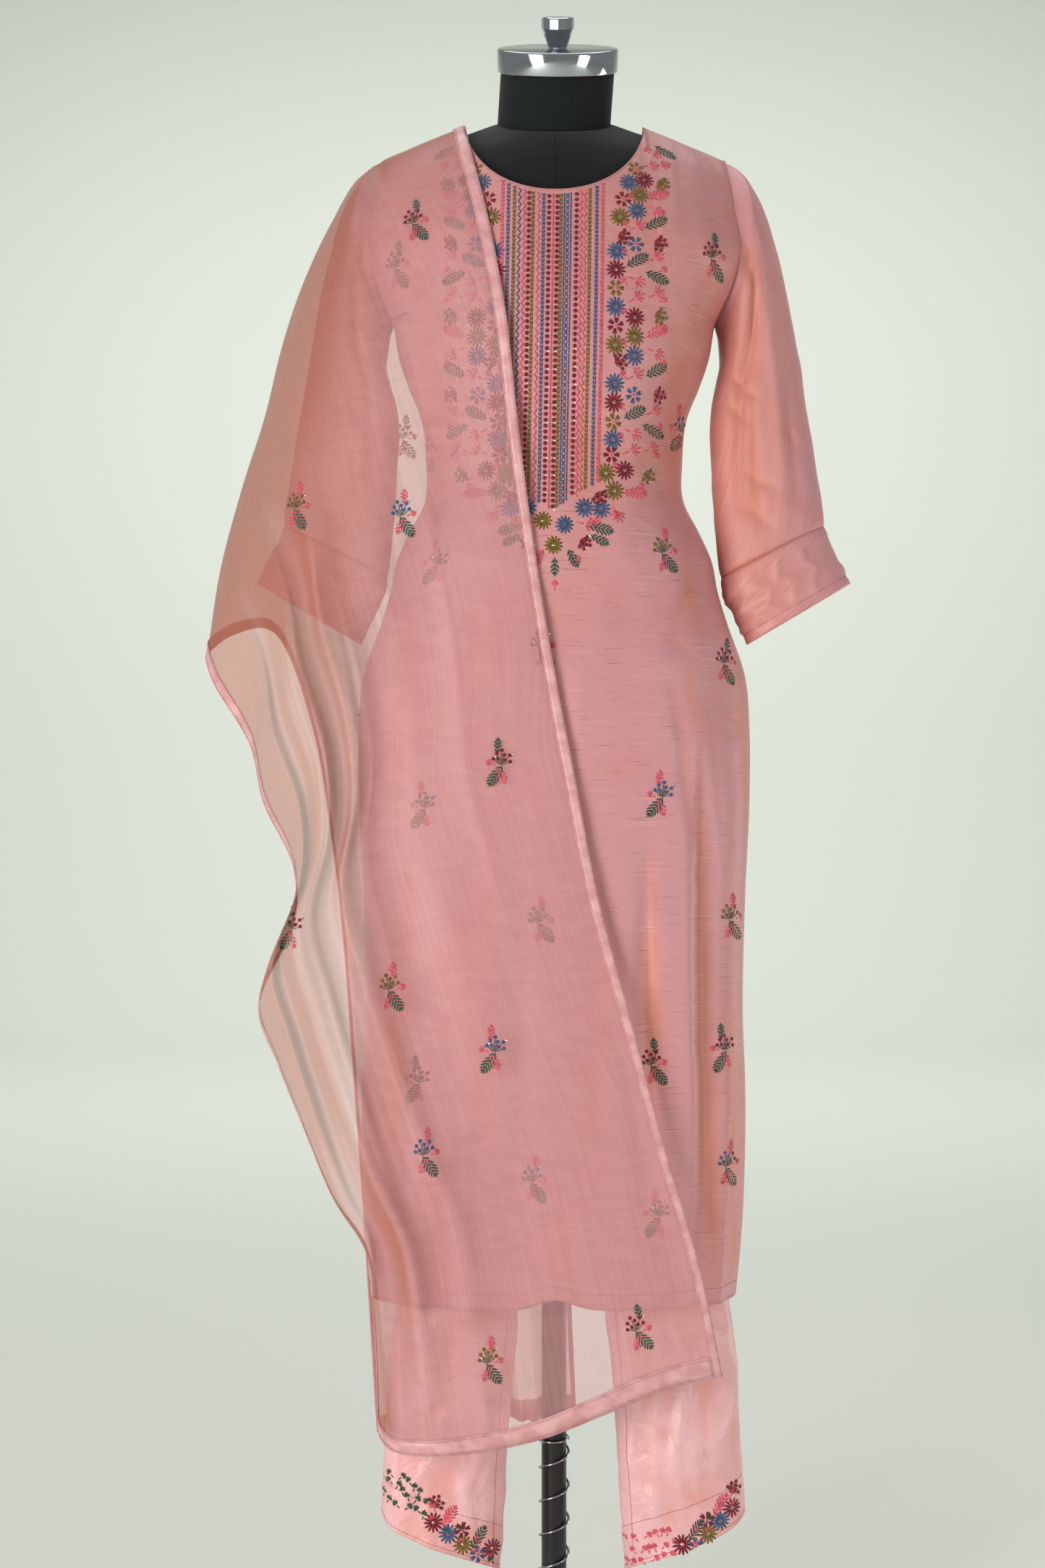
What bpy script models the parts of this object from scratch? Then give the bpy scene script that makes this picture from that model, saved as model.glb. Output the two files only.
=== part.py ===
# A salwar kameez suit on a limbless dress form, in metres, +Z up.
# The origin is on the floor, on the axis of the stand's pole. The front faces -Y.
# Left and right are the wearer's own: the wearer's left is at +X.

import math
from collections import namedtuple

import bmesh
import bpy
import numpy as np
from mathutils import Matrix, Vector
from mathutils.bvhtree import BVHTree

# Cloth
SILK = 0.0014
ORGANZA = 0.0010
BINDING = 0.0010
SEAM_GAP = 0.0003
CURVED_SEAM_GAP = 0.0010
ARMHOLE_GAP = 0.0012
JOIN = 0.00001

# Kameez
HEM_HEIGHT = 0.416
SLIT_TOP = 0.820
SLIT_PART = 0.009
UNDERARM_HEIGHT = 1.398
SHOULDER_TIP = (0.1756, 1.5699)
NECK_POINT = (0.0911, 1.6017)
RIDGE_Y = 0.010
SHOULDER_ROLL = 0.130
FRONT_NECK_DEPTH = 0.0917
BACK_NECK_DEPTH = 0.024
ARMHOLE_FRONT = 0.056
ARMHOLE_BACK = 0.050

# Trousers
WAIST_HEIGHT = 1.150
WAISTBAND_DEPTH = 0.035
CROTCH_HEIGHT = 0.800
TROUSER_INSET = 0.0085
TROUSER_WALL = 0.0012
TROUSER_SHIFT = 0.008
HEM_OUTER_HEIGHT = 0.205
HEM_INNER_HEIGHT = 0.142

# Dupatta
CORNER_GAP = 0.0010
DUPATTA_EASE = 0.0009
SHOULDER_EASE = 0.0010

# Dress form and stand
FORM_BOTTOM = 0.868
FORM_INSET = 0.0065
FORM_WAIST_INSET = 0.0122
FORM_DROP = 0.0032
FORM_BACK_DROP = 0.0080
NECK_RADIUS = 0.0585
NECK_SEAM_HEIGHT = 1.605
NECK_SEAM_SLOPE = 0.42
CAP_RADIUS = 0.0615
CAP_HEIGHT = 0.023
CAP_TILT = math.radians(23)
CAP_TOP = (0.0035, -0.020, 1.6765)
POLE_RADIUS = 0.0127
BASE_RADIUS = 0.200
BASE_THICKNESS = 0.014
COLLAR_RADIUS = 0.024
COLLAR_HEIGHT = 0.036
SOCKET_FLOOR = 0.008
SPRING_WIRE = 0.00135
SPRING_RADIUS = 0.0150
SPRING_PITCH = 0.0344
SPRING_TOP = 0.262

BodyRow = namedtuple("BodyRow", "height half_width front back squareness")
BODY = (
    BodyRow(0.416, 0.1860, 0.106, 0.112, 3.0),
    BodyRow(0.450, 0.1895, 0.107, 0.113, 3.0),
    BodyRow(0.500, 0.1933, 0.109, 0.115, 3.0),
    BodyRow(0.620, 0.1950, 0.112, 0.118, 2.9),
    BodyRow(0.700, 0.1915, 0.115, 0.120, 2.8),
    BodyRow(0.800, 0.1935, 0.118, 0.122, 2.7),
    BodyRow(0.920, 0.1990, 0.120, 0.124, 2.6),
    BodyRow(0.980, 0.1992, 0.121, 0.124, 2.5),
    BodyRow(1.040, 0.1945, 0.120, 0.120, 2.4),
    BodyRow(1.096, 0.1755, 0.118, 0.112, 2.4),
    BodyRow(1.126, 0.1665, 0.117, 0.106, 2.4),
    BodyRow(1.155, 0.1610, 0.115, 0.100, 2.4),
    BodyRow(1.185, 0.1480, 0.112, 0.094, 2.3),
    BodyRow(1.214, 0.1330, 0.110, 0.090, 2.3),
    BodyRow(1.260, 0.1310, 0.110, 0.088, 2.3),
    BodyRow(1.303, 0.1360, 0.116, 0.089, 2.3),
    BodyRow(1.333, 0.1480, 0.122, 0.091, 2.3),
    BodyRow(1.3625, 0.1580, 0.126, 0.094, 2.3),
    BodyRow(1.398, 0.1644, 0.126, 0.097, 2.4),
    BodyRow(1.430, 0.1780, 0.122, 0.099, 2.4),
    BodyRow(1.459, 0.1850, 0.117, 0.100, 2.4),
    BodyRow(1.508, 0.1800, 0.108, 0.100, 2.3),
    BodyRow(1.570, 0.1756, 0.100, 0.098, 2.2),
    BodyRow(1.650, 0.1756, 0.098, 0.096, 2.2),
)

# Soft folds of the skirt: across is the part of the half width, -1 to 1, and a depth below 0 stands out
SkirtFold = namedtuple("SkirtFold", "across width depth top bottom")
FRONT_FOLDS = (
    SkirtFold(-0.86, 0.07, 0.006, 0.98, 0.44),
    SkirtFold(-0.62, 0.06, 0.007, 0.66, 0.38),
    SkirtFold(-0.18, 0.09, 0.005, 0.95, 0.50),
    SkirtFold(0.46, 0.07, 0.006, 0.96, 0.52),
    SkirtFold(0.77, 0.07, 0.008, 1.04, 0.38),
    SkirtFold(0.95, 0.05, 0.006, 0.74, 0.38),
)
BACK_FOLDS = (
    SkirtFold(-0.84, 0.09, -0.008, 1.02, 0.38),
    SkirtFold(-0.50, 0.10, -0.010, 0.96, 0.40),
    SkirtFold(-0.10, 0.10, -0.012, 1.02, 0.38),
    SkirtFold(0.28, 0.09, -0.009, 0.92, 0.42),
    SkirtFold(0.66, 0.10, -0.010, 1.00, 0.38),
)

# Sleeve sections from just under the armhole to the end of the cuff
SleeveRow = namedtuple("SleeveRow", "place outer_x outer_z inner_x inner_z middle half_depth")
CUFF_SEAM = 0.84
ARMHOLE_BOW = 0.018
ARMHOLE_BOW_END = 0.34
SLEEVE = (
    SleeveRow(0.04, 0.1915, 1.5560, 0.1670, 1.3880, 0.000, 0.054),
    SleeveRow(0.14, 0.2130, 1.5200, 0.1690, 1.3720, 0.000, 0.054),
    SleeveRow(0.25, 0.2285, 1.4700, 0.1700, 1.3560, 0.000, 0.052),
    SleeveRow(0.36, 0.2410, 1.4150, 0.1660, 1.3370, -0.003, 0.047),
    SleeveRow(0.47, 0.2500, 1.3600, 0.1605, 1.3150, -0.006, 0.043),
    SleeveRow(0.58, 0.2575, 1.3130, 0.1580, 1.2820, -0.009, 0.041),
    SleeveRow(0.68, 0.2645, 1.2680, 0.1600, 1.2380, -0.012, 0.040),
    SleeveRow(0.77, 0.2710, 1.2240, 0.1645, 1.1840, -0.015, 0.038),
    SleeveRow(0.84, 0.2745, 1.1914, 0.1689, 1.1396, -0.017, 0.036),
    SleeveRow(1.00, 0.3000, 1.1329, 0.1963, 1.0715, -0.020, 0.034),
)

TrouserRow = namedtuple("TrouserRow", "height outer inner half_depth follow shift")
TROUSERS = (
    TrouserRow(0.130, 0.184, 0.0640, 0.035, 0.0, 1.0),
    TrouserRow(0.205, 0.181, 0.0590, 0.035, 0.0, 1.0),
    TrouserRow(0.290, 0.176, 0.0540, 0.033, 0.0, 1.0),
    TrouserRow(0.360, 0.173, 0.0480, 0.031, 0.0, 1.0),
    TrouserRow(0.420, 0.166, 0.0420, 0.029, 0.0, 0.8),
    TrouserRow(0.550, 0.160, 0.0280, 0.027, 0.05, 0.4),
    TrouserRow(0.680, 0.156, 0.0120, 0.020, 0.35, 0.0),
    TrouserRow(0.800, 0.153, 0.0020, 0.009, 0.85, 0.0),
    TrouserRow(0.860, 0.151, 0.0004, 0.0018, 1.0, 0.0),
    TrouserRow(1.000, 0.144, 0.0004, 0.0016, 1.0, 0.0),
    TrouserRow(1.150, 0.112, 0.0004, 0.0016, 1.0, 0.0),
    TrouserRow(1.200, 0.100, 0.0004, 0.0016, 1.0, 0.0),
)
LEG_MIDDLE = -0.046

# Dupatta edges: the inner edge runs from the front end to the neck, the outer one to the arm
EdgeRow = namedtuple("EdgeRow", "place x y z")
FRONT_INNER = (
    EdgeRow(0.00, 0.1620, -0.118, 0.3560),
    EdgeRow(0.08, 0.1400, -0.122, 0.4600),
    EdgeRow(0.18, 0.1050, -0.124, 0.5800),
    EdgeRow(0.28, 0.0720, -0.126, 0.7050),
    EdgeRow(0.38, 0.0405, -0.128, 0.8230),
    EdgeRow(0.47, 0.0190, -0.128, 0.9350),
    EdgeRow(0.57, -0.0045, -0.124, 1.0600),
    EdgeRow(0.66, -0.0225, -0.118, 1.1740),
    EdgeRow(0.75, -0.0370, -0.120, 1.2850),
    EdgeRow(0.83, -0.0480, -0.130, 1.3850),
    EdgeRow(0.90, -0.0640, -0.105, 1.4750),
    EdgeRow(0.96, -0.0830, -0.054, 1.5580),
    EdgeRow(1.00, -0.0930, 0.008, 1.6035),
)
FRONT_OUTER = (
    EdgeRow(0.00, -0.1760, -0.040, 0.2950),
    EdgeRow(0.12, -0.1790, -0.050, 0.3900),
    EdgeRow(0.20, -0.1860, -0.055, 0.4650),
    EdgeRow(0.28, -0.2200, -0.060, 0.5200),
    EdgeRow(0.36, -0.2500, -0.060, 0.5900),
    EdgeRow(0.43, -0.2750, -0.055, 0.6500),
    EdgeRow(0.50, -0.2950, -0.050, 0.7100),
    EdgeRow(0.57, -0.2620, -0.055, 0.7850),
    EdgeRow(0.65, -0.2590, -0.058, 0.8450),
    EdgeRow(0.74, -0.2900, -0.048, 0.9100),
    EdgeRow(0.83, -0.3060, -0.036, 0.9700),
    EdgeRow(0.92, -0.3440, -0.018, 1.0300),
    EdgeRow(1.00, -0.3577, 0.004, 1.0620),
)
FRONT_END = (
    EdgeRow(0.00, 0.1620, -0.118, 0.3560),
    EdgeRow(0.14, 0.1080, -0.122, 0.3440),
    EdgeRow(0.30, 0.0450, -0.124, 0.3190),
    EdgeRow(0.46, -0.0150, -0.124, 0.2960),
    EdgeRow(0.62, -0.0780, -0.124, 0.2830),
    EdgeRow(0.76, -0.1300, -0.120, 0.2790),
    EdgeRow(0.86, -0.1590, -0.106, 0.2800),
    EdgeRow(0.94, -0.1730, -0.075, 0.2860),
    EdgeRow(1.00, -0.1760, -0.040, 0.2950),
)
SHOULDER = (
    EdgeRow(0.00, -0.0930, 0.008, 1.6035),
    EdgeRow(0.07, -0.1300, 0.010, 1.5882),
    EdgeRow(0.15, -0.1740, 0.010, 1.5722),
    EdgeRow(0.22, -0.2020, 0.010, 1.5600),
    EdgeRow(0.31, -0.2320, 0.010, 1.5120),
    EdgeRow(0.42, -0.2600, 0.008, 1.4500),
    EdgeRow(0.53, -0.2810, 0.006, 1.3850),
    EdgeRow(0.64, -0.2990, 0.004, 1.3100),
    EdgeRow(0.76, -0.3220, 0.002, 1.2350),
    EdgeRow(0.88, -0.3440, 0.002, 1.1500),
    EdgeRow(1.00, -0.3577, 0.004, 1.0620),
)
BACK_INNER = (
    EdgeRow(0.00, -0.0930, 0.008, 1.6035),
    EdgeRow(0.05, -0.0900, 0.062, 1.5600),
    EdgeRow(0.12, -0.0820, 0.100, 1.4600),
    EdgeRow(0.25, -0.0650, 0.108, 1.2900),
    EdgeRow(0.45, -0.0300, 0.130, 1.0200),
    EdgeRow(0.70, 0.0050, 0.134, 0.6600),
    EdgeRow(1.00, 0.0260, 0.132, 0.2450),
)
BACK_OUTER = (
    EdgeRow(0.00, -0.3577, 0.004, 1.0620),
    EdgeRow(0.08, -0.3350, 0.045, 1.0850),
    EdgeRow(0.18, -0.2950, 0.080, 1.0900),
    EdgeRow(0.30, -0.2600, 0.108, 1.0000),
    EdgeRow(0.45, -0.2360, 0.125, 0.8500),
    EdgeRow(0.70, -0.2120, 0.132, 0.5600),
    EdgeRow(1.00, -0.1900, 0.128, 0.2280),
)
BACK_END = (
    EdgeRow(0.00, 0.0260, 0.132, 0.2450),
    EdgeRow(0.50, -0.0800, 0.134, 0.2300),
    EdgeRow(1.00, -0.1900, 0.128, 0.2280),
)

# Hanging folds of the dupatta: across is the place from inner to outer edge
DrapeFold = namedtuple("DrapeFold", "across drift width depth start end")
FRONT_DRAPE = (
    DrapeFold(0.60, 0.06, 0.050, 0.020, 0.10, 0.96),
    DrapeFold(0.74, 0.03, 0.045, 0.030, 0.08, 1.00),
    DrapeFold(0.88, -0.02, 0.045, 0.026, 0.14, 1.02),
    DrapeFold(0.36, 0.10, 0.060, 0.006, 0.30, 0.80),
)
BACK_DRAPE = (
    DrapeFold(0.12, 0.0, 0.055, 0.030, 0.10, 1.50),
    DrapeFold(0.36, 0.0, 0.060, 0.036, 0.06, 1.50),
    DrapeFold(0.61, 0.0, 0.055, 0.032, 0.04, 1.50),
    DrapeFold(0.86, 0.0, 0.055, 0.034, 0.10, 1.50),
)


# Tables and meshes


class Track:
    """Smooth curve through the rows of a table, read at a value of its first column."""

    def __init__(self, rows):
        table = np.array(rows, float)
        self.places = table[:, 0]
        self.values = table[:, 1:]
        self.slopes = np.gradient(self.values, self.places, axis=0)

    def at(self, place):
        place = min(max(place, self.places[0]), self.places[-1])
        row = int(np.searchsorted(self.places, place, side="right")) - 1
        row = min(max(row, 0), len(self.places) - 2)
        span = self.places[row + 1] - self.places[row]
        t = (place - self.places[row]) / span
        rise = t * t * (3 - 2 * t)
        start_bend = t * (1 - t) ** 2 * span
        end_bend = t * t * (t - 1) * span
        return (
            self.values[row] * (1 - rise)
            + self.values[row + 1] * rise
            + self.slopes[row] * start_bend
            + self.slopes[row + 1] * end_bend
        )


def ease(low, high, value):
    """0 at low, 1 at high, with a soft start and end."""
    t = min(max((value - low) / (high - low), 0.0), 1.0)
    return t * t * (3 - 2 * t)


def bell(value, middle, width):
    """Soft bump of height 1 round the middle."""
    t = (value - middle) / width
    return math.exp(-t * t)


def add_material(name, color, roughness, metallic=0.0, alpha=1.0):
    material = bpy.data.materials.new(name)
    material.use_nodes = True
    shader = material.node_tree.nodes["Principled BSDF"]
    shader.inputs["Base Color"].default_value = (*color, 1.0)
    shader.inputs["Roughness"].default_value = roughness
    shader.inputs["Metallic"].default_value = metallic
    shader.inputs["Alpha"].default_value = alpha
    return material


def add_object(name, mesh, material, smooth=True):
    mesh.materials.append(material)
    if smooth:
        mesh.shade_smooth()
    obj = bpy.data.objects.new(name, mesh)
    suit.objects.link(obj)
    return obj


def grid_mesh(name, lattice, inside, closed=False):
    """Grid whose points are moved to the rows of a lattice, with faces turned away from inside."""
    rows = len(lattice) - 1
    columns = len(lattice[0]) - 1
    grid = bmesh.new()
    bmesh.ops.create_grid(grid, x_segments=columns, y_segments=rows, size=0.5)
    for index, vert in enumerate(grid.verts):
        row, column = divmod(index, columns + 1)
        vert.co = lattice[row][column]
    if closed:
        bmesh.ops.remove_doubles(grid, verts=grid.verts[:], dist=JOIN)
    grid.normal_update()
    middle = Vector(inside)
    facing = sum(f.normal.dot(f.calc_center_median() - middle) * f.calc_area() for f in grid.faces)
    if facing < 0:
        bmesh.ops.reverse_faces(grid, faces=grid.faces[:])
    mesh = bpy.data.meshes.new(name)
    grid.to_mesh(mesh)
    grid.free()
    return mesh


def cloth(name, lattice, material, wall, inside, closed=False, outward=False):
    """Cloth wall on a lattice: the lattice is its outer face, or its inner one if outward."""
    obj = add_object(name, grid_mesh(name, lattice, inside, closed), material)
    solidify = obj.modifiers.new("Wall", "SOLIDIFY")
    solidify.thickness = wall
    solidify.offset = 1.0 if outward else -1.0
    solidify.use_even_offset = False
    return obj


def capped_tube(name, lattice, material, inside):
    """Solid through closed rings, with flat ends."""
    mesh = grid_mesh(name, lattice, inside, closed=True)
    solid = bmesh.new()
    solid.from_mesh(mesh)
    ends = [edge for edge in solid.edges if edge.is_boundary]
    bmesh.ops.holes_fill(solid, edges=ends, sides=0)
    bmesh.ops.recalc_face_normals(solid, faces=solid.faces[:])
    solid.to_mesh(mesh)
    solid.free()
    return add_object(name, mesh, material)


def turned(name, profile, steps, material):
    """Turned solid: the profile is a list of (radius, height)."""
    mesh = bpy.data.meshes.new(name)
    line = bmesh.new()
    points = [line.verts.new((radius, 0.0, height)) for radius, height in profile]
    for start, end in zip(points, points[1:]):
        line.edges.new((start, end))
    line.to_mesh(mesh)
    line.free()
    obj = add_object(name, mesh, material, smooth=False)
    screw = obj.modifiers.new("Turn", "SCREW")
    screw.steps = steps
    screw.render_steps = steps
    screw.use_merge_vertices = True
    screw.merge_threshold = 0.0001
    return obj


# Kameez

body_track = Track(BODY)


def ridge(x):
    """Height of the shoulder line."""
    tip_x, tip_z = SHOULDER_TIP
    neck_x, neck_z = NECK_POINT
    return tip_z + (neck_z - tip_z) * (tip_x - abs(x)) / (tip_x - neck_x)


def fold_depth(folds, across, height):
    """Depth of the skirt's folds at a point."""
    depth = 0.0
    for fold in folds:
        run = ease(fold.top, fold.top - 0.22, height) * ease(fold.bottom - 0.06, fold.bottom, height)
        depth += fold.depth * run * bell(across, fold.across, fold.width)
    return depth


def body_point(side, across, height, inset=0.0, drop=0.0, folds=()):
    """Point of the kameez's outer face. side is -1 in front and 1 behind, across is the sine of the
    angle from the middle, inset moves the point in, and drop lowers the shoulders."""
    half_width, front, back, squareness = body_track.at(height)
    depth = (front if side < 0 else back) - inset
    reach = half_width - inset
    level = (height - UNDERARM_HEIGHT) / (SHOULDER_TIP[1] - UNDERARM_HEIGHT)
    armhole = ARMHOLE_FRONT if side < 0 else ARMHOLE_BACK
    edge = 2 * armhole * math.sqrt(level * (1 - level)) if 0 < level < 1 else 0.0
    lean = math.sqrt(max(1 - across * across, 0.0))
    x = reach * math.copysign(abs(across) ** (2 / squareness), across)
    round_part = lean ** (2 / squareness)
    y = depth * round_part + edge * (1 - round_part) ** 2
    below = min(max((ridge(x) - drop - height) / SHOULDER_ROLL, 0.0), 1.0)
    roll = math.sqrt(1 - (1 - below) ** 2)
    away = fold_depth(folds, x / reach, height)
    y = side * (y - away * lean)
    x -= away * across
    return Vector((x, RIDGE_Y + (y - RIDGE_Y) * roll, height))


def neckline(x, depth):
    """Height of the neckline, a round scoop between the neck points."""
    return NECK_POINT[1] - depth * math.sqrt(max(1 - (x / NECK_POINT[0]) ** 2, 0.0))


UPPER_ROWS = 10
LOWER_STOPS = ((0.85, 5), (1.10, 4), (UNDERARM_HEIGHT, 8))


def lower_parts():
    """Heights of the rows from the hem to the underarm, as parts of that length."""
    heights = [HEM_HEIGHT]
    for stop, count in LOWER_STOPS:
        start = heights[-1]
        heights += [start + (stop - start) * k / count for k in range(1, count + 1)]
    length = UNDERARM_HEIGHT - HEM_HEIGHT
    return [(height - HEM_HEIGHT) / length for height in heights]


def upper_parts():
    """Places of the rows from the underarm to the top edge, at even angles round the armhole."""
    return [(1 - math.cos(math.pi * k / UPPER_ROWS)) / 2 for k in range(1, UPPER_ROWS + 1)]


def column_places(neck_columns, side_columns):
    """Sines of the columns' angles: the neck point lies on a column, and the sides are even."""
    squareness = body_track.at(SHOULDER_TIP[1])[3]
    neck_sine = (NECK_POINT[0] / SHOULDER_TIP[0]) ** (squareness / 2)
    neck_angle = math.asin(neck_sine)
    half = [
        math.sin(neck_angle) * math.sin(math.pi / 2 * k / neck_columns) for k in range(neck_columns)
    ]
    for k in range(side_columns + 1):
        half.append(math.sin(neck_angle + (math.pi / 2 - neck_angle) * k / side_columns))
    return [-place for place in reversed(half[1:])] + half


def top_height(across, neck_depth):
    """Height of a panel's top edge: the neckline, then the shoulder line."""
    squareness = body_track.at(SHOULDER_TIP[1])[3]
    x = SHOULDER_TIP[0] * abs(across) ** (2 / squareness)
    if x < NECK_POINT[0] - JOIN:
        return neckline(x, neck_depth)
    return ridge(x)


def panel_lattice(side, columns, neck_depth, folds):
    """Rows of the front (side -1) or the back (side 1) of the kameez."""
    heights = [[HEM_HEIGHT + part * (UNDERARM_HEIGHT - HEM_HEIGHT)] * len(columns) for part in lower_parts()]
    for part in upper_parts():
        tops = [top_height(across, neck_depth) for across in columns]
        heights.append([UNDERARM_HEIGHT + part * (top - UNDERARM_HEIGHT) for top in tops])
    lattice = []
    for row in heights:
        points = []
        for across, height in zip(columns, row):
            point = body_point(side, across, height, folds=folds)
            opening = ease(SLIT_TOP, HEM_HEIGHT, height) * SLIT_PART * abs(across) ** 6
            gap = SEAM_GAP if height < UNDERARM_HEIGHT else CURVED_SEAM_GAP
            point.y += side * (gap + opening)
            points.append(point)
        lattice.append(points)
    return lattice


def armhole_ring(hand):
    """Ring of the armhole from the shoulder tip down the front and up the back."""
    heights = [UNDERARM_HEIGHT] + [
        UNDERARM_HEIGHT + part * (SHOULDER_TIP[1] - UNDERARM_HEIGHT) for part in upper_parts()
    ]
    front = [body_point(-1, hand, height) for height in reversed(heights)]
    back = [body_point(1, hand, height) for height in heights]
    ring = front + back[1:]
    return [point + Vector((hand * ARMHOLE_GAP, 0.0, 0.0)) for point in ring]


sleeve_track = Track(SLEEVE)


def sleeve_ring(hand, place, count):
    """Ring of a sleeve, from its outer edge round the front."""
    outer_x, outer_z, inner_x, inner_z, middle, half_depth = sleeve_track.at(place)
    outer = Vector((outer_x, 0.0, outer_z))
    inner = Vector((inner_x, 0.0, inner_z))
    center = (outer + inner) / 2
    spoke = (outer - inner) / 2
    bow = ARMHOLE_BOW * max(1 - place / ARMHOLE_BOW_END, 0.0) ** 2
    ring = []
    for k in range(count + 1):
        angle = 2 * math.pi * k / count
        point = center + spoke * math.cos(angle)
        point.y = middle - half_depth * math.sin(angle)
        point.x += bow * math.sin(angle) ** 2
        point.x *= hand
        ring.append(point)
    return ring


SLEEVE_SIDES = 2 * UPPER_ROWS
SLEEVE_PLACES = (0.04, 0.10, 0.17, 0.25, 0.34, 0.43, 0.52, 0.62, 0.72, CUFF_SEAM)
CUFF_PLACES = (CUFF_SEAM + 0.0009, 0.92, 1.0)


def add_kameez(material):
    wide = column_places(4, 6)
    narrow = column_places(3, 5)
    front = panel_lattice(-1, wide, FRONT_NECK_DEPTH, FRONT_FOLDS)
    back = panel_lattice(1, narrow, BACK_NECK_DEPTH, BACK_FOLDS)
    cloth("kameez_front", front, material, SILK, (0.0, 0.05, 1.0))
    cloth("kameez_back", back, material, SILK, (0.0, -0.05, 1.0))
    for name, hand in (("left", 1), ("right", -1)):
        rings = [armhole_ring(hand)]
        rings += [sleeve_ring(hand, place, SLEEVE_SIDES) for place in SLEEVE_PLACES]
        band = [sleeve_ring(hand, place, SLEEVE_SIDES) for place in CUFF_PLACES]
        inside = (hand * 0.21, 0.0, 1.32)
        cloth(f"sleeve_{name}", rings, material, SILK, inside, closed=True)
        cloth(f"cuff_{name}", band, material, SILK, (hand * 0.235, -0.018, 1.13), closed=True)


# Trousers

trouser_track = Track(TROUSERS)


def trouser_point(hand, side, around, height):
    """Point of a trouser panel. around runs from the outer seam, 0, to the inner seam or the middle, 1."""
    outer, inner, half_depth, follow, shift = trouser_track.at(height)
    joined = ease(CROTCH_HEIGHT, CROTCH_HEIGHT + 0.07, height)
    leg_x = (1 + math.cos(math.pi * around)) / 2
    leg_y = math.sin(math.pi * around) ** 0.8 if 0 < around < 1 else 0.0
    seat_x = math.cos(math.pi / 2 * around)
    seat_y = math.sin(math.pi / 2 * around) ** 0.5
    x = inner + (outer - inner) * (leg_x + (seat_x - leg_x) * joined)
    thickness = half_depth * (leg_y + (seat_y - leg_y) * joined)
    half_width, front, back, squareness = body_track.at(height)
    reach = half_width - TROUSER_INSET
    bent = (front - TROUSER_INSET) * max(1 - (x / reach) ** squareness, 0.0) ** (1 / squareness)
    middle = LEG_MIDDLE + (-bent - LEG_MIDDLE) * follow
    seam = SEAM_GAP / 2
    x = max(x, seam)
    return Vector((hand * x + TROUSER_SHIFT * shift, middle + side * (thickness + seam), height))


TROUSER_COLUMNS = 7
TROUSER_HEIGHTS = (0.26, 0.34, 0.42, 0.52, 0.62, 0.72, 0.80, 0.835, 0.87, 0.95, 1.05, WAIST_HEIGHT)


def trouser_lattice(hand, side):
    """Rows of one trouser panel, from its slanted hem to the waist."""
    lattice = []
    for row in range(-2, len(TROUSER_HEIGHTS)):
        points = []
        for column in range(TROUSER_COLUMNS + 1):
            around = column / TROUSER_COLUMNS
            hem = HEM_OUTER_HEIGHT + (HEM_INNER_HEIGHT - HEM_OUTER_HEIGHT) * around
            height = TROUSER_HEIGHTS[max(row, 0)]
            if row < 0:
                height = hem + (TROUSER_HEIGHTS[0] - hem) * (row + 2) / 2
            points.append(trouser_point(hand, side, around, height))
        lattice.append(points)
    return lattice


def waistband_ring(height, count):
    """Ring of the waistband: round the front, then back along the form."""
    ring = []
    for k in range(4 * count + 1):
        quarter, step = divmod(k, count)
        part = step / count
        if k == 4 * count:
            quarter, part = 3, 1.0
        hand = 1 if quarter in (0, 3) else -1
        side = -1 if quarter < 2 else 1
        around = part if quarter in (0, 2) else 1 - part
        point = trouser_point(hand, side, around, height)
        if around == 0:
            point.y -= side * SEAM_GAP / 2
        if around == 1:
            point.x = 0.0
        ring.append(point)
    return ring


def add_trousers(material):
    for name, hand in (("left", 1), ("right", -1)):
        for face, side in (("front", -1), ("back", 1)):
            lattice = trouser_lattice(hand, side)
            inside = (hand * 0.10, LEG_MIDDLE - side * 0.04, 0.55)
            title = f"trouser_{face}_{name}"
            cloth(title, lattice, material, TROUSER_WALL, inside, outward=True)
    low = WAIST_HEIGHT + SEAM_GAP
    rings = [waistband_ring(low + WAISTBAND_DEPTH * k, 6) for k in (0, 0.5, 1)]
    middle = (0.0, -0.105, low)
    cloth("trouser_waistband", rings, material, TROUSER_WALL, middle, closed=True, outward=True)


# Dupatta


def blend_edges(start_side, end_side, start_row, end_row, u, v):
    """Point inside four edges that meet at their corners."""
    side = start_side.at(v) * (1 - u) + end_side.at(v) * u
    row = start_row.at(u) * (1 - v) + end_row.at(u) * v
    corners = (
        start_row.at(0) * (1 - u) * (1 - v)
        + start_row.at(1) * u * (1 - v)
        + end_row.at(0) * (1 - u) * v
        + end_row.at(1) * u * v
    )
    return side + row - corners


def drape_depth(folds, u, v):
    """How far the hanging folds stand out."""
    depth = 0.0
    for fold in folds:
        middle = fold.across + fold.drift * (v - 0.5)
        run = ease(fold.start - 0.10, fold.start + 0.15, v) * ease(fold.end, fold.end - 0.30, v)
        depth += fold.depth * run * bell(u, middle, fold.width)
    return depth


def hidden_surface(names):
    """Search tree of pieces that the dupatta lies on."""
    tree_mesh = bmesh.new()
    bpy.context.view_layer.update()
    graph = bpy.context.evaluated_depsgraph_get()
    for name in names:
        tree_mesh.from_object(bpy.data.objects[name], graph)
    tree = BVHTree.FromBMesh(tree_mesh)
    tree_mesh.free()
    return tree


def lay_on(point, tree, side, clearance):
    """Depth of the cloth's face where it clears what lies behind it."""
    start = Vector((point[0], side * 1.0, point[2] - SHOULDER_EASE))
    hit = tree.ray_cast(start, Vector((0.0, -side, 0.0)))[0]
    if hit is None:
        return point[1]
    limit = hit.y + side * clearance
    return min(point[1], limit) if side < 0 else max(point[1], limit)


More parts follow.
